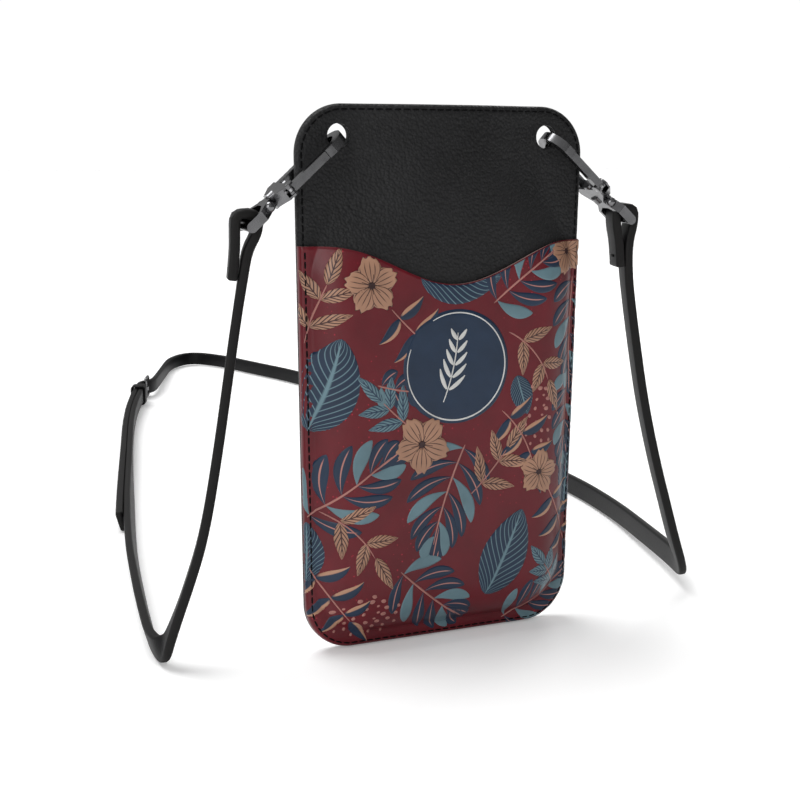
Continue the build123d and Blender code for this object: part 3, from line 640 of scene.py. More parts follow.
# ---------------------------------------------------------------- settings a user would change
class SleeveLeather(bpy.types.PropertyGroup):
    """Colours of the leathers, thread and metal."""

    case_colour: FloatVectorProperty(
        name="Case leather", description="Dye of the case's plain leather", subtype="COLOR",
        default=(0.0095, 0.0095, 0.01)
    )
    strap_colour: FloatVectorProperty(
        name="Strap leather", description="Dye of the strap", subtype="COLOR",
        default=(0.0045, 0.0045, 0.005)
    )
    thread_colour: FloatVectorProperty(
        name="Thread", description="Colour of the seam thread", subtype="COLOR",
        default=(0.0035, 0.0035, 0.004)
    )
    metal_colour: FloatVectorProperty(
        name="Plating", description="Colour of the plated fittings", subtype="COLOR",
        default=(0.17, 0.17, 0.175)
    )
    grain_size: FloatProperty(
        name="Grain", description="Pebbles of the case leather per metre", default=950.0, min=100.0,
        max=4000.0
    )


class SleevePrint(bpy.types.PropertyGroup):
    """Colours of the printed pocket."""

    ground: FloatVectorProperty(
        name="Ground", description="Background of the print", subtype="COLOR",
        default=(0.138, 0.004, 0.011)
    )
    navy: FloatVectorProperty(
        name="Navy", description="Darkest leaves and the badge", subtype="COLOR",
        default=(0.012, 0.03, 0.066)
    )
    pale_blue: FloatVectorProperty(
        name="Pale blue", description="Light leaves", subtype="COLOR",
        default=(0.14, 0.24, 0.28)
    )
    tan: FloatVectorProperty(
        name="Tan", description="Flowers and tan sprays", subtype="COLOR",
        default=(0.46, 0.25, 0.16)
    )
    rosy: FloatVectorProperty(
        name="Rosy", description="Stems, veins and flecks", subtype="COLOR",
        default=(0.46, 0.2, 0.17)
    )
    line: FloatVectorProperty(
        name="Line", description="Drawn lines on flowers and sprays", subtype="COLOR",
        default=(0.045, 0.016, 0.016)
    )
    badge_line: FloatVectorProperty(
        name="Badge line", description="Ring and sprig on the badge", subtype="COLOR",
        default=(0.72, 0.72, 0.7)
    )


class SleeveSizes(bpy.types.PropertyGroup):
    """Small sizes of the finish."""

    stitch_pitch: FloatProperty(
        name="Stitch pitch", description="From one stitch to the next", default=0.003, min=0.001,
        max=0.01, unit="LENGTH"
    )
    stitch_length: FloatProperty(
        name="Stitch length", description="Visible thread of one stitch", default=0.0024, min=0.0005,
        max=0.009, unit="LENGTH"
    )
    ink_height: FloatProperty(
        name="Ink height", description="How far a printed motif stands off the pocket", default=0.00005, min=0.00002,
        max=0.0005, unit="LENGTH"
    )
    floor_size: FloatProperty(
        name="Floor", description="Width of the studio floor", default=14.0, min=2.0, max=50.0, unit="LENGTH"
    )
    panel_columns: IntProperty(
        name="Panel columns", description="Columns of the pocket's surface", default=170, min=60,
        max=220
    )


# ---------------------------------------------------------------- print motifs
def on_pocket(x, z, lift):
    """Place on the pocket's face of flat pattern points, standing off by lift."""
    return front_point(x, z, POCKET_LEVEL, 2.6, 3.6, lift)


def motif_sheet(u, v, x, z, height):
    """One motif's points: its edge dips under the pocket's face, so its ink has a soft rounded border."""
    edge = np.minimum(smooth_step(np.minimum(u, 1 - u) / 0.03), smooth_step(np.minimum(v, 1 - v) / 0.05))
    lift = height * (1.35 * edge - 0.35)
    return on_pocket(x, z, lift)


def blade(start, angle, length, width, bend=0.0, fullness=0.75, tip=1.0, along=20, across=7):
    """A pointed leaf on the flat pattern.

    The midrib starts at start, heads off at angle and turns steadily by bend over its length. The half
    width is a sine of the share of the way along raised to fullness, to the power tip.
    """
    u, v = np.meshgrid(np.linspace(0, 1, along), np.linspace(0, 1, across), indexing="ij")
    turn = math.radians(angle) + math.radians(bend) * u
    step = length / (along - 1)
    x = start[0] + np.cumsum(np.cos(turn), axis=0) * step - np.cos(turn[:1]) * step
    z = start[1] + np.cumsum(np.sin(turn), axis=0) * step - np.sin(turn[:1]) * step
    half = width / 2 * np.maximum(np.sin(math.pi * u**fullness), 0.0) ** tip + 0.04
    side = (2 * v - 1) * half
    return u, v, x - np.sin(turn) * side, z + np.cos(turn) * side


def petal_row(centre, radius, turn, squash=1.0, petals=5):
    """The petals of an open flower: each widens to a ruffled end, half its width a sine of the way along."""
    leaves = []
    for k in range(petals):
        angle = turn + 360.0 * k / petals
        u, v = np.meshgrid(np.linspace(0, 1, 12), np.linspace(0, 1, 13), indexing="ij")
        half = radius * 0.46 * np.sin(math.pi * (0.04 + 0.74 * u)) ** 0.8
        ruffle = 1 + (0.07 * np.cos(6 * math.pi * (v - 0.5) + k) + 0.05 * math.sin(2.1 * k)) * u**2
        bow = 1 - 0.3 * np.abs(2 * v - 1) ** 2.5 * u
        a = math.radians(angle)
        reach = radius * (0.08 + 0.95 * u) * bow * ruffle
        side = (2 * v - 1) * half
        x = centre[0] + (np.cos(a) * reach - np.sin(a) * side)
        z = centre[1] + (np.sin(a) * reach + np.cos(a) * side) * squash
        leaves.append((u, v, x, z))
    return leaves


def fingered_leaf(start, angle, length, reach, fingers=6, bend=0.0, pale_every=3, pale_first=1):
    """A broad leaf cut into curved fingers along both sides of a midrib.

    Finger k leaves the midrib at an even share of its length, heads out sideways and turns towards the
    tip. Its length is reach times a sine of that share, and it is widest near its blunt end. Gives the
    dark fingers, the pale ones and the midrib.
    """
    dark, pale = [], []
    for k in range(fingers):
        t = (k + 0.35) / fingers
        turn = math.radians(angle + bend * t / 2)
        x, z = start[0] + math.cos(turn) * length * t, start[1] + math.sin(turn) * length * t
        size = reach * (0.62 + 0.5 * math.sin(math.pi * (0.15 + 0.75 * t)) - 0.45 * t)
        wide = length / fingers * 0.92
        for side in (1, -1):
            way = angle + bend * t + side * (86 - 50 * t)
            finger = blade((x, z), way, size, wide, -side * 46, 1.35, 0.8, 18, 7)
            (pale if (k + (side > 0)) % pale_every == pale_first else dark).append(finger)
    rib = blade(start, angle, length * 1.02, 0.75, bend, 0.7, 0.35, 24, 5)
    end = math.radians(angle + bend / 2)
    tip = (start[0] + math.cos(end) * length * 0.8, start[1] + math.sin(end) * length * 0.8)
    dark.append(blade(tip, angle + bend, length * 0.36, wide * 1.1, 0, 1.1, 0.9, 16, 7))
    return dark, pale, rib


def spray(start, angle, length, pairs, leaf, width, bend=0.0, spread=48.0, leaf_bend=0.0, sides=(1, -1)):
    """A stem of paired leaflets and one at its tip, getting shorter towards the tip."""
    motifs = [blade(start, angle, length, 0.55, bend, 0.8, 0.3, 16, 5)]
    for k in range(pairs):
        t = (k + 0.6) / (pairs + 0.2)
        turn = math.radians(angle + bend * t / 2)
        x, z = start[0] + math.cos(turn) * length * t, start[1] + math.sin(turn) * length * t
        size = leaf * (1 - 0.28 * abs(2 * t - 0.8))
        for side in sides:
            way = angle + bend * t + side * spread
            motifs.append(blade((x, z), way, size, width, leaf_bend * side, along=14))
    turn = math.radians(angle + bend / 2)
    end = (start[0] + math.cos(turn) * length * 0.97, start[1] + math.sin(turn) * length * 0.97)
    motifs.append(blade(end, angle + bend, leaf * 0.95, width, along=14))
    return motifs


def specks(centre, reach, count, size):
    """Small rough flecks scattered over an oval by the golden angle, each a short blade."""
    motifs = []
    for k in range(count):
        a, r = k * 2.39996, math.sqrt((k + 0.5) / count)
        x, z = centre[0] + math.cos(a) * r * reach[0], centre[1] + math.sin(a) * r * reach[1]
        long = size * (0.7 + 0.6 * ((k * 37) % 11) / 10)
        motifs.append(blade((x, z), (k * 67) % 180, long, long * 0.75, 0, 0.9, 0.6, 6, 5))
    return motifs


def inlay(name, motifs, height, material, body="case"):
    """Joins motifs into one piece and gives the ink its body.

    What would run over the wavy edge is trimmed to it, and each motif stands a hair off the one before.
    """
    points, faces, uvs, start = [], [], [], 0
    for turn, (u, v, x, z) in enumerate(motifs):
        rows, columns = u.shape
        quads = grid_faces(rows, columns)
        cut = wave_height(x) - 0.35
        keep = (z < cut).ravel()[quads].any(axis=1) & (edge_inset(x, z) > -2.0).ravel()[quads].all(axis=1)
        quads = quads[keep]
        if len(quads) == 0:
            continue
        place = motif_sheet(u, v, x, np.minimum(z, cut), height + 0.003 * (turn % 7)).reshape(-1, 3)
        flat = np.stack([x.ravel(), z.ravel()], axis=1)[quads[0]]
        edge_a, edge_b = flat[1] - flat[0], flat[3] - flat[0]
        if edge_a[0] * edge_b[1] - edge_a[1] * edge_b[0] < 0:
            quads = quads[:, ::-1]
        used, back = np.unique(quads, return_inverse=True)
        points.append(place[used])
        uvs.append(np.stack([u.ravel(), v.ravel()], axis=1)[used])
        faces.append(back.reshape(quads.shape) + start)
        start += len(used)
    faces = np.concatenate(faces)
    piece = new_piece(name, np.concatenate(points), faces, body, material)
    layer = piece.data.uv_layers.new(name="motif")
    corners = np.empty(len(piece.data.loops), dtype=np.int32)
    piece.data.loops.foreach_get("vertex_index", corners)
    layer.data.foreach_set("uv", np.concatenate(uvs)[corners].astype(np.float32).ravel())
    solid_skin(piece, 0.16)
    return piece


def flat_band(start_angle, sweep, radius, centre, wide, taper=True):
    """A brushed ring line: an arc whose width swells from thin ends."""
    u, v = np.meshgrid(np.linspace(0, 1, 120), np.linspace(0, 1, 5), indexing="ij")
    a = math.radians(start_angle) + math.radians(sweep) * u
    half = wide / 2 * (0.35 + 0.65 * np.sin(math.pi * np.clip(u, 0.0, 1.0)) ** 0.5 if taper else 1.0)
    r = radius + (2 * v - 1) * half
    return u, v, centre[0] + np.cos(a) * r, centre[1] + np.sin(a) * r


def disc(centre, radius, count=34):
    """A round patch without pole or seam: a square grid whose corners are eased in onto the circle."""
    u, v = np.meshgrid(np.linspace(0, 1, count), np.linspace(0, 1, count), indexing="ij")
    a, b = 2 * u - 1, 2 * v - 1
    x = centre[0] + radius * a * np.sqrt(1 - b**2 / 2)
    return u, v, x, centre[1] + radius * b * np.sqrt(1 - a**2 / 2)


# ---------------------------------------------------------------- seam
def seam_line(inset, spacing):
    """Evenly spaced points along the line that runs round the case, inset from its edge.

    The case's outline is four straight sides joined by arcs; the seam keeps the same centres.
    """
    corner = OUTLINE_CORNER - inset
    a = np.linspace(0, math.pi / 2, 40)
    spots = []
    for turn, side, high in ((0, 1, 1), (1, -1, 1), (2, -1, 0), (3, 1, 0)):
        z0 = CASE_HEIGHT - OUTLINE_CORNER if high else OUTLINE_CORNER
        z = z0 + corner * np.sin(a + turn * math.pi / 2)
        lean = half_width(z0) - OUTLINE_CORNER
        spots.append(np.stack([side * lean + corner * np.cos(a + turn * math.pi / 2), z], axis=1))
    loop = np.concatenate(spots + [spots[0][:1]])
    walk = np.r_[0, np.cumsum(np.linalg.norm(np.diff(loop, axis=0), axis=1))]
    count = int(walk[-1] / spacing)
    even = np.arange(count) * walk[-1] / count
    return np.interp(even, walk, loop[:, 0]), np.interp(even, walk, loop[:, 1]), walk[-1] / count


def capsule(rows=6, sides=6):
    """Unit thread dash along X: half length 1 and half thickness 1, its ends rounded by a quarter sine."""
    u, v = np.meshgrid(np.linspace(0, 1, rows), np.arange(sides) / sides, indexing="ij")
    swell = np.sin(math.pi * (0.04 + 0.92 * u)) ** 0.45
    a = 2 * math.pi * v
    points = np.stack([-np.cos(math.pi * (0.02 + 0.96 * u)), swell * np.cos(a), swell * np.sin(a)], axis=-1)
    faces = [tuple(f) for f in grid_faces(rows, sides, True)[:, ::-1].tolist()]
    faces += [tuple(range(sides)), tuple(range(rows * sides - 1, (rows - 1) * sides - 1, -1))]
    return points.reshape(-1, 3), faces


def dashes(name, middle, along, out, half_length, half_thick, body, material):
    """Thread dashes joined into one piece: a capsule set at each middle, along and out giving its axes."""
    shape, faces = capsule()
    along, out = unit(along), unit(out)
    side = np.cross(out, along)
    points = middle[:, None] + (
        shape[None, :, 0:1] * half_length * along[:, None]
        + shape[None, :, 1:2] * half_thick * side[:, None]
        + shape[None, :, 2:3] * half_thick * out[:, None]
    )
    count = len(shape)
    every = [tuple(i + k * count for i in f) for k in range(len(middle)) for f in faces]
    return new_piece(name, points, every, body, material)


# ---------------------------------------------------------------- operators
class SLEEVE_OT_stage(bpy.types.Operator):
    """Floor, studio lights and camera"""

    bl_idname = "sleeve.stage"
    bl_label = "Studio"

    def execute(self, context):
        size = context.scene.sleeve_sizes.floor_size / 2
        u, v = np.meshgrid(np.linspace(-size, size, 9), np.linspace(-size, size, 9), indexing="xy")
        mesh = bpy.data.meshes.new("floor")
        spots = np.stack([u, v, np.full_like(u, -0.0004)], axis=-1).reshape(-1, 3)
        mesh.from_pydata(spots.tolist(), [], grid_faces(9, 9).tolist())
        mesh.materials.append(floor_material())
        floor = bpy.data.objects.new("floor", mesh)
        context.scene.collection.objects.link(floor)

        context.scene.view_settings.view_transform = "Standard"
        world = bpy.data.worlds.new("studio")
        world.use_nodes = True
        tree = world.node_tree
        back = tree.nodes["Background"]
        back.inputs["Color"].default_value = (1.0, 1.0, 1.0, 1.0)
        seen = node(tree, "ShaderNodeLightPath").outputs["Is Camera Ray"]
        way = node(tree, "ShaderNodeTexCoord").outputs["Generated"]
        across = node(tree, "ShaderNodeSeparateXYZ", {0: way}).outputs[0]
        softbox = math_node(tree, "MULTIPLY_ADD", across, -0.24, 0.34)
        unseen = math_node(tree, "MULTIPLY", softbox, math_node(tree, "SUBTRACT", 1.0, seen))
        tree.links.new(math_node(tree, "MULTIPLY_ADD", seen, 1.02, unseen), back.inputs["Strength"])
        context.scene.world = world
        for name, kind, place, wide, tall, power in (
            ("overhead", "SUN", (-0.42, 0.5, 1.9), 0, 0, 2.0),
            ("key", "AREA", (-1.3, -1.0, 0.75), 0.7, 1.2, 8.0),
            ("rim", "AREA", (1.0, 1.0, 0.9), 0.5, 1.0, 5.0),
        ):
            light = bpy.data.lights.new(name, kind)
            light.energy = power
            if kind == "SUN":
                light.angle = math.radians(38)
            else:
                light.shape = "RECTANGLE"
                light.size, light.size_y = wide, tall
            lamp = bpy.data.objects.new(name, light)
            lamp.location = place
            lamp.rotation_euler = (Vector((0, 0, 0.1)) - Vector(place)).to_track_quat("-Z", "Y").to_euler()
            context.scene.collection.objects.link(lamp)

        azimuth, elevation, roll = math.radians(-24.17), math.radians(10.62), math.radians(0.36)
        away = Vector((
            math.sin(azimuth) * math.cos(elevation),
            -math.cos(azimuth) * math.cos(elevation),
            math.sin(elevation),
        ))
        right = Vector((math.cos(azimuth), math.sin(azimuth), 0.0))
        up = away.cross(right)
        level_x = math.cos(roll) * right + math.sin(roll) * up
        level_y = -math.sin(roll) * right + math.cos(roll) * up
        target, distance = Vector((-0.01503, 0.0072, 0.08742)), 0.49643
        lens = bpy.data.cameras.new("camera")
        lens.sensor_width, lens.lens, lens.clip_start, lens.clip_end = 36.0, 63.0, 0.01, 100.0
        camera = bpy.data.objects.new("camera", lens)
        turn = Matrix((level_x, level_y, away)).transposed().to_4x4()
        camera.matrix_world = Matrix.Translation(target + away * distance) @ turn
        context.scene.collection.objects.link(camera)
        context.scene.camera = camera
        return {"FINISHED"}


class SLEEVE_OT_strap(bpy.types.Operator):
    """The two leather lengths of the shoulder strap, each folded round its swivel eye"""

    bl_idname = "sleeve.strap"
    bl_label = "Strap"

    def execute(self, context):
        hang = (0.31, 0.95, 0.0)
        for name, route, side, low_point in (
            ("short", SHORT_ROUTE, -1, (80.0, 26.0, 24.0)), ("long", LONG_ROUTE, 1, (80.0, 28.0, 28.0)),
        ):
            line, even = route_line(route, 1.6)
            keys = [(0.0, (0.24, 0.97, 0.0)), (34.0, (0.22, 0.97, 0.0)), (60.0, hang), (even[-1], hang)]
            piece = carried_band(
                f"strap_{name}_leather", line, even, keys, low_point, "case", strap_leather(),
                STRAP_WIDTH
            )
            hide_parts(f"strap_{name}")
            spots = [tuple(float(c) for c in p * MM) for p in line[::3]]
            if (len(line) - 1) % 3:
                spots.append(tuple(float(c) for c in line[-1] * MM))
        return {"FINISHED"}


class SLEEVE_OT_case_panels(bpy.types.Operator):
    """Front and back leather of the case and its linings"""

    bl_idname = "sleeve.case_panels"
    bl_label = "Case panels"

    def execute(self, context):
        look = context.scene.sleeve_leather
        dyed = leather(
            "case leather", tuple(look.case_colour), [c * 1.6 for c in look.case_colour], look.grain_size,
            1.0, 0.5, 0.05,
        )
        lining = woven_lining()

        def sheet(columns, rows, over, low):
            z = eased(rows, low - over, CASE_HEIGHT + over, 1.9)
            u = eased(columns, -1.0, 1.0, 1.5)
            return u[None, :] * pattern_row_half(z, over)[:, None], np.repeat(z[:, None], columns, axis=1)

        for name, node_name, columns, rows, over, inset, level, thick, material, slot in (
            ("front_leather", "front_panel", 150, 200, 1.1, 0.0, 1.9, 1.25, dyed, "black_leather"),
            ("front_lining_cloth", "front_lining", 90, 120, 0.0, 0.75, 0.6, 0.5, lining, "lining"),
        ):
            x, z = sheet(columns, rows, over - inset, 0.0)
            if inset:
                places = front_point(x, z, level, 0.1, 0.0)
                places[..., 1] = BACK_Y - FLAT - level - front_rise(x, z, level)
            else:
                pull = 0.9 * smooth_step((wave_height(x) - 4 - z) / 6)
                places = front_point(x, z, level, 1.8, 1.9)
                places[..., 0] -= np.sign(x) * pull * smooth_step((np.abs(x) - half_width(z) + 6) / 6)
                places[..., 2] += 0.9 * smooth_step((6 - z) / 6)
            faces = grid_faces(rows, columns)
            flat_x, flat_z = places[..., 0].ravel().copy(), places[..., 2].ravel().copy()
            for hole in HOLES:
                faces = punch(flat_x, flat_z, faces, hole, HOLE_RADIUS)
            spots = np.stack([flat_x, places[..., 1].ravel(), flat_z], axis=1)
            spots, faces = drop_unused(spots, faces)
            piece = new_piece(name, spots, faces, "case", material)
            solid_skin(piece, thick)
            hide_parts(node_name)

        for name, node_name, forward, thick, roll, inset, material, slot in (
            ("back_leather", "back_panel", 0.0, 0.85, 1.15, 0.0, dyed, "black_leather"),
            ("back_lining_cloth", "back_lining", 1.32, 0.5, 0.0, 0.5, lining, "lining"),
        ):
            over = roll * (math.pi / 2 - 1) + (0.68 if roll else 0.0)
            x, z = sheet(130, 180, over - inset, 0.0)
            depth = edge_inset(x, z)
            past = np.maximum(roll - depth, 0.0)
            turn = np.minimum(past / max(roll, 1e-6), math.pi / 2) if roll else past * 0
            step = 0.05
            nx = (edge_inset(x + step, z) - edge_inset(x - step, z)) / (2 * step)
            nz = (edge_inset(x, z + step) - edge_inset(x, z - step)) / (2 * step)
            size = np.maximum(np.hypot(nx, nz), 1e-6)
            drawn = np.where(depth >= roll, depth, roll * (1 - np.sin(turn))) if roll else depth
            px, pz = x + nx / size * (drawn - depth), z + nz / size * (drawn - depth)
            wrap = np.maximum(past - roll * math.pi / 2, 0.0)
            py = BACK_Y - forward - roll * (1 - np.cos(turn)) - wrap - (seam_groove(drawn) if roll else 0)
            faces = grid_faces(180, 130)[:, ::-1]
            flat_x, flat_z = px.ravel().copy(), pz.ravel().copy()
            for hole in HOLES:
                faces = punch(flat_x, flat_z, faces, hole, HOLE_RADIUS)
            spots, faces = drop_unused(np.stack([flat_x, py.ravel(), flat_z], axis=1), faces)
            piece = new_piece(name, spots, faces, "case", material)
            solid_skin(piece, thick)
            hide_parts(node_name)
        return {"FINISHED"}


class SLEEVE_OT_card_pocket(bpy.types.Operator):
    """Printed leather pocket with its wavy raw edge, wrapped round the case's sides"""

    bl_idname = "sleeve.card_pocket"
    bl_label = "Card pocket"

    def execute(self, context):
        ink = context.scene.sleeve_print
        columns, rows, over = context.scene.sleeve_sizes.panel_columns, 190, 2.4
        ground = printed("print ground", tuple(ink.ground), [c * 2.6 for c in ink.ground], "ground")
        raw = leather("raw pocket edge", (0.24, 0.15, 0.14), (0.34, 0.24, 0.22), 1800.0, 0.3, 0.7)
        z = eased(rows, -over, WAVE_HIGH, 1.7)
        u = eased(columns, -1.0, 1.0, 1.6)
        x = u[None, :] * pattern_row_half(z, over)[:, None]
        z = np.repeat(z[:, None], columns, axis=1)
        z = z - (WAVE_HIGH - wave_height(x)) * smooth_step((z - 50) / (WAVE_HIGH - 50))
        spots = on_pocket(x, z, 0.0)
        burnish = 0.28 * smooth_step((z - wave_height(x) + 0.9) / 0.9)
        spots[..., 1] += burnish
        piece = new_piece(
            "pocket_leather", spots, grid_faces(rows, columns), "case", [ground, raw]
        )
        solid_skin(piece, 1.25, rim=1)
        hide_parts("card_pocket")
        rows, columns = 110, 100
        z = eased(rows, 0.8, WAVE_HIGH - 0.5, 1.5)
        x = eased(columns, -1.0, 1.0, 1.4)[None, :] * pattern_row_half(z, -1.3)[:, None]
        z = np.repeat(z[:, None], columns, axis=1)
        z = z - (WAVE_HIGH - wave_height(x)) * smooth_step((z - 50) / (WAVE_HIGH - 50))
        spots = np.stack([x, BACK_Y - FLAT - 2.3 - front_rise(x, z, 2.3), z], axis=-1)
        piece = new_piece("pocket_lining_cloth", spots, grid_faces(rows, columns), "case", woven_lining())
        solid_skin(piece, 0.3)
        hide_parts("pocket_lining")
        return {"FINISHED"}


class SLEEVE_OT_print(bpy.types.Operator):
    """Botanical print on the pocket: flowers, fingered leaves, striped leaves, sprays and flecks"""

    bl_idname = "sleeve.print"
    bl_label = "Print"

    def execute(self, context):
        ink, high = context.scene.sleeve_print, context.scene.sleeve_sizes.ink_height / MM
        navy, blue, tan, rosy, line = (tuple(getattr(ink, c)) for c in ("navy", "pale_blue", "tan", "rosy", "line"))

        banana = []
        for start, angle, length, width, bend in (
            ((-52, 80), 66, 34, 22, 14), ((-14, 132), -6, 31, 18, 10), ((13, 16), 60, 34, 19, 10),
            ((50, 44), 88, 30, 13, -4), ((-53, 26), 86, 22, 12, 6), ((24, 96), -72, 15, 9, 0),
        ):
            banana.append(blade(start, angle, length, width, bend, 0.85, 0.75, 40, 13))
        inlay("striped_leaves", banana, high, printed("navy striped leaf", navy, blue, "banana"))

        dark, pale, ribs = [], [], []
        for start, angle, length, reach, fingers, bend, first in (
            ((-53, 49), 40, 36, 20, 6, -6, 1), ((4, 73), -116, 38, 21, 7, 14, 0), ((-21, 29), -44, 32, 18, 6, 8, 1),
            ((14, 122), 40, 33, 18, 6, -10, 0), ((51, 130), -94, 38, 16, 6, 6, 2), ((24, 3), 26, 30, 15, 6, 8, 1),
            ((50, 96), -96, 34, 13, 6, 0, 0), ((-30, 96), -20, 20, 9, 4, 20, 0),
        ):
            one_dark, one_pale, rib = fingered_leaf(start, angle, length, reach, fingers, bend, 3, first)
            dark += one_dark
            pale += one_pale
            ribs.append(rib)
        inlay("dark_fingers", dark, high * 1.5, printed("navy leaf finger", navy, rosy, "finger"))
        inlay("pale_fingers", pale, high * 2.0, printed("pale leaf finger", blue, navy, "plain"))

        fronds, tan_sprays, stems = [], [], []
        for start, angle, length, pairs, bend in (
            ((-25, 122), -48, 25, 3, 10), ((18, 84), -38, 25, 3, -36), ((38, 54), -58, 27, 3, -8),
            ((-52, 32), -62, 26, 3, 12),
        ):
            grown = spray(start, angle, length, pairs, 13.5, 4.4, bend, 62, 44)
            stems.append(grown[0])
            fronds += grown[1:]
        inlay("palm_fronds", fronds, high * 2.5, printed("navy frond", navy, tan, "frond"))

        for start, angle, length, pairs, leaf, bend in (
            ((-53, 110), 76, 22, 2, 15, -8), ((20, 112), -22, 26, 2, 14, -48), ((6, 54), 40, 22, 2, 15, 14),
            ((-49, 52), -22, 26, 2, 15, -40),
        ):
            grown = spray(start, angle, length, pairs, leaf, 5.0, bend, 50, 8)
            stems.append(grown[0])
            tan_sprays += grown[1:]
        inlay("tan_sprays", tan_sprays, high * 3.0, printed("tan veined leaflet", tan, line, "herringbone"))

        blue_sprays = []
        for start, angle, length, pairs, leaf, bend in (
            ((-17, 80), 142, 15, 2, 14.5, -8), ((45, 14), 122, 13, 2, 11, 6), ((-6, 84), 96, 5, 1, 8, 0),
        ):
            grown = spray(start, angle, length, pairs, leaf, 4.9, bend, 46, 6)
            stems.append(grown[0])
            blue_sprays += grown[1:]
        inlay("blue_sprays", blue_sprays, high * 3.5, printed("pale blue leaflet", blue, navy, "herringbone"))
        inlay("stems_and_ribs", stems + ribs, high * 4.0, printed("rosy stem", rosy, line, "plain"))

        petals, hearts = [], []
        for centre, radius, turn in (
            ((-32, 130), 9.6, 24), ((-13, 74), 10.4, 52), ((34, 60), 8.2, 10), ((47, 139), 8.4, 30),
        ):
            petals += petal_row(centre, radius, turn)
            hearts.append(disc(centre, radius * 0.13, 12))
            for k in range(9):
                reach = radius * (0.36 + 0.1 * (k % 2))
                hearts.append(blade(centre, turn + 17 + 40 * k, reach, 0.42, 0, 0.8, 0.2, 8, 5))
        inlay("flowers", petals, high * 4.5, printed("tan petal", tan, line, "petal"))
        inlay("flower_hearts", hearts, high * 5.0, printed("flower heart", line, tan, "plain"))

        flecks = specks((33, 81), (10, 13), 36, 1.7) + specks((-32, 12), (14, 9), 34, 1.8)
        inlay("flecks", flecks, high * 1.2, printed("rosy fleck", rosy, line, "plain"))
        return {"FINISHED"}


class SLEEVE_OT_badge(bpy.types.Operator):
    """Round navy badge with a brushed ring and a plain leaf sprig"""

    bl_idname = "sleeve.badge"
    bl_label = "Badge"

    def execute(self, context):
        ink, high = context.scene.sleeve_print, context.scene.sleeve_sizes.ink_height / MM
        middle = (0.0, 100.7)
        navy = printed("badge navy", tuple(ink.navy), tuple(ink.line), "plain")
        inlay("badge_disc", [disc(middle, 20.6)], high * 5.5, navy)
        pale = printed("badge pale ink", tuple(ink.badge_line), tuple(ink.navy), "plain")
        ring = [flat_band(128, -338, 18.9, middle, 0.95)]
        stem = [blade((-5.5, 87.5), 66, 27.0, 0.8, 22, 0.8, 0.3, 24, 5)]
        for k in range(5):
            t = 0.2 + 0.165 * k
            turn = math.radians(66 + 11 * t)
            x, z = -5.5 + math.cos(turn) * 27.0 * t, 87.5 + math.sin(turn) * 27.0 * t
            for side in (1, -1):
                stem.append(blade((x, z), 70 + 18 * t + side * 50, 9.0 - k * 0.9, 2.6, -side * 26, 0.8, 0.9, 14, 5))
        inlay("badge_lines", ring + stem, high * 6.2, pale)
        return {"FINISHED"}


class SLEEVE_OT_seam(bpy.types.Operator):
    """Running stitches round the front and the back"""

    bl_idname = "sleeve.seam"
    bl_label = "Seam stitches"

    def execute(self, context):
        sizes, look = context.scene.sleeve_sizes, context.scene.sleeve_leather
        dark = thread("seam thread", tuple(look.thread_colour))
        x, z, pitch = seam_line(1.8, sizes.stitch_pitch / MM)
        clear = np.min([np.hypot(x - h[0], z - h[1]) for h in HOLES], axis=0) > 5.5
        x, z = x[clear], z[clear]
        in_pocket = z < wave_height(x) - 0.5
        dx, dz = seam_tangent(x, z)
        for name, node_name, front in (
            ("front_stitches", "seam_needle_thread", True), ("back_stitches", "seam_bobbin_thread", False),
        ):
            if front:
                at = lambda a, b: np.where(
                    in_pocket[:, None], drawn_on(a, b, POCKET_LEVEL, 2.6), drawn_on(a, b, 1.9, 1.8)
                )
                here, ahead, beside = at(x, z), at(x + dx * 0.4, z + dz * 0.4), at(x - dz * 0.4, z + dx * 0.4)
                along = ahead - here
                out = np.cross(along, beside - here)
                out *= -np.sign(out[:, 1:2])
            else:
                here = np.stack([x, np.full_like(x, BACK_Y - 0.12), z], axis=1)
                along, out = np.stack([dx, 0 * dx, dz], axis=1), np.tile([0.0, 1.0, 0.0], (len(x), 1))
            piece = dashes(name, here, along, out, sizes.stitch_length / MM / 2, 0.34, "case", dark)
            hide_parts(node_name)
        return {"FINISHED"}


def seam_tangent(x, z):
    """Direction along the seam: at right angles to the way the inset grows."""
    step = 0.05
    gx = edge_inset(x + step, z) - edge_inset(x - step, z)
    gz = edge_inset(x, z + step) - edge_inset(x, z - step)
    size = np.maximum(np.hypot(gx, gz), 1e-6)
    return -gz / size, gx / size


def drawn_on(x, z, level, roll):
    """Place on the front of points given by where they end up, not by the flat pattern."""
    depth = edge_inset(x, z)
    turn = np.arcsin(np.clip(1 - depth / roll, 0.0, 1.0))
    back = roll * (1 - np.cos(turn))
    forward = FLAT + level + front_rise(x, z, level) - back - seam_groove(depth)
    return np.stack([x, BACK_Y - forward, z], axis=1)


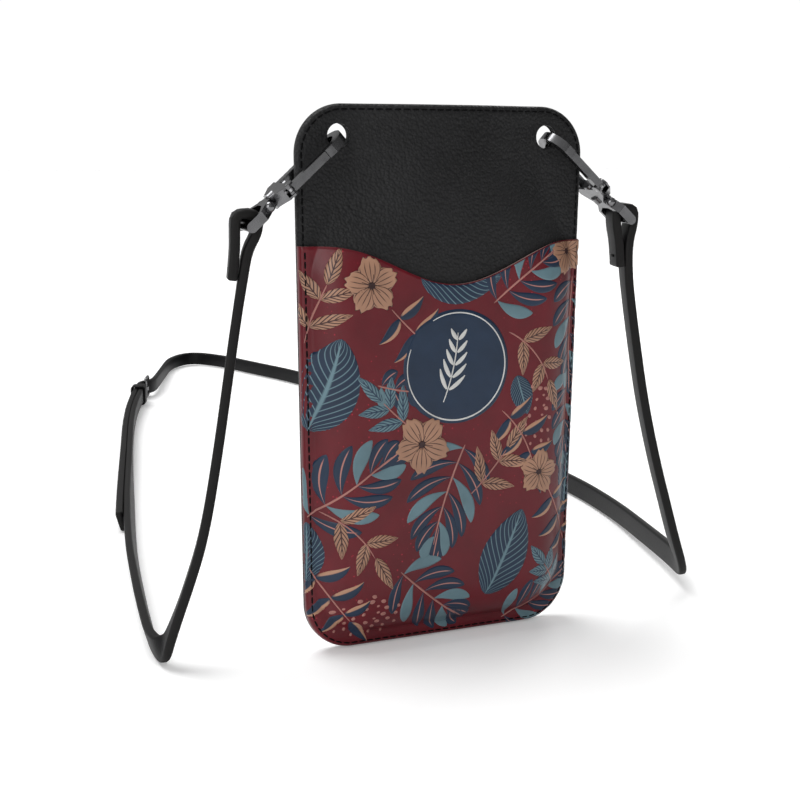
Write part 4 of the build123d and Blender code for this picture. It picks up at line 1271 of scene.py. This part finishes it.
class SLEEVE_OT_strap_fittings(bpy.types.Operator):
    """Keeper band beside the buckle and the stitches that close the strap's folds"""

    bl_idname = "sleeve.strap_fittings"
    bl_label = "Keeper and fold stitches"

    def execute(self, context):
        low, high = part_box("keeper_loop")
        middle = (np.array(low) + np.array(high)) / 2 / MM
        way = math.radians(69.0)
        s_way = np.array([math.cos(way), math.sin(way), 0])
        n_way = np.array([-math.sin(way), math.cos(way), 0])
        up = np.array([0, 0, 1.0])
        ring, _ = band_section(2 * 5.95, 2 * 4.3, 1.7, 7)
        flat = unit(np.roll(ring, -1, axis=0) - np.roll(ring, 1, axis=0))
        outward = np.stack([flat[:, 1], -flat[:, 0]], axis=1)
        section, _ = band_section(9.0, 1.2, 0.5, 4)
        spots = (
            middle + (ring[:, :1] * up + ring[:, 1:] * n_way)[:, None]
            + (outward[:, :1] * up + outward[:, 1:] * n_way)[:, None] * section[None, :, 1:]
            + s_way * section[None, :, :1]
        )
        rows, columns = spots.shape[:2]
        spots = np.concatenate([spots, spots[:1]])
        faces = grid_faces(rows + 1, columns, True) % (rows * columns)
        keeper = new_piece("keeper_leather", spots[:rows], faces, "keeper", strap_leather())
        set_value(keeper, "cut_edge", np.tile(0.2, rows * columns))
        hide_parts("keeper_loop")

        dark = thread("seam thread", tuple(context.scene.sleeve_leather.thread_colour))
        for side in ("left", "right"):
            low, high = (np.array(c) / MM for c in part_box(f"{side}_loop_stitches"))
            k = np.arange(3)
            z = low[2] + (high[2] - low[2]) * (k + 0.5) / 3
            spots = np.concatenate([
                np.stack([np.full(3, px), np.full(3, 3.45), z], axis=1) for px in (low[0] + 0.25, high[0] - 0.25)
            ])
            out = np.concatenate([np.tile([-1.0, 0, 0], (3, 1)), np.tile([1.0, 0, 0], (3, 1))])
            along = np.tile([0.22, 0.97, 0.0], (6, 1))
            piece = dashes(f"{side}_fold_stitches", spots, along, out, 1.5, 0.3, "case", dark)
            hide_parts(f"{side}_loop_stitches")
        return {"FINISHED"}


class SLEEVE_OT_metal(bpy.types.Operator):
    """Plating on the clasps, swivel eyes, buckle, pins and springs"""

    bl_idname = "sleeve.metal"
    bl_label = "Metal finish"

    def execute(self, context):
        plated = gunmetal("gunmetal plating", tuple(context.scene.sleeve_leather.metal_colour))
        bright = gunmetal("spring steel", (0.42, 0.42, 0.43), 0.3)
        for side in ("left", "right"):
            for part, finish in (
                ("hook_body", plated), ("hook_gate", plated), ("swivel_eye", plated),
                ("gate_pin", bright), ("gate_spring", bright),
            ):
                finish_node(f"{side}_{part}", finish)
        finish_node("buckle_frame", plated)
        finish_node("buckle_prong", plated)
        return {"FINISHED"}


def finish_node(name, material):
    """Gives a frame node its finish."""
    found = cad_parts[name]
    for piece in found if isinstance(found, (list, tuple)) else [found]:
        if not piece.material_slots:
            piece.data.materials.append(material)
        for place in piece.material_slots:
            place.material = material


# ---------------------------------------------------------------- add-on
STEPS = (
    SLEEVE_OT_stage, SLEEVE_OT_strap, SLEEVE_OT_case_panels, SLEEVE_OT_card_pocket, SLEEVE_OT_print, SLEEVE_OT_badge,
    SLEEVE_OT_seam, SLEEVE_OT_strap_fittings, SLEEVE_OT_metal,
)


class SLEEVE_PT_panel(bpy.types.Panel):
    """Lists the sleeve's settings and building steps"""

    bl_idname = "SLEEVE_PT_panel"
    bl_label = "Phone sleeve"
    bl_space_type = "VIEW_3D"
    bl_region_type = "UI"
    bl_category = "Phone sleeve"

    def draw(self, context):
        for group in ("sleeve_leather", "sleeve_print", "sleeve_sizes"):
            settings = getattr(context.scene, group)
            for name in settings.__annotations__:
                self.layout.prop(settings, name)
        for step in STEPS:
            self.layout.operator(step.bl_idname)


GROUPS = (("sleeve_leather", SleeveLeather), ("sleeve_print", SleevePrint), ("sleeve_sizes", SleeveSizes))
CLASSES = (SleeveLeather, SleevePrint, SleeveSizes) + STEPS + (SLEEVE_PT_panel,)


def register():
    """Registers the classes and hangs the settings on the scene."""
    for cls in CLASSES:
        bpy.utils.register_class(cls)
    for name, group in GROUPS:
        setattr(bpy.types.Scene, name, PointerProperty(type=group))


def unregister():
    """Takes the settings and classes away again."""
    for name, _ in GROUPS:
        delattr(bpy.types.Scene, name)
    for cls in reversed(CLASSES):
        bpy.utils.unregister_class(cls)


def main():
    """Runs every step in order."""
    register()
    for step in STEPS:
        group, name = step.bl_idname.split(".")
        if getattr(getattr(bpy.ops, group), name)() != {"FINISHED"}:
            raise RuntimeError(f"{step.bl_label} did not finish")


if __name__ == "__main__":
    main()
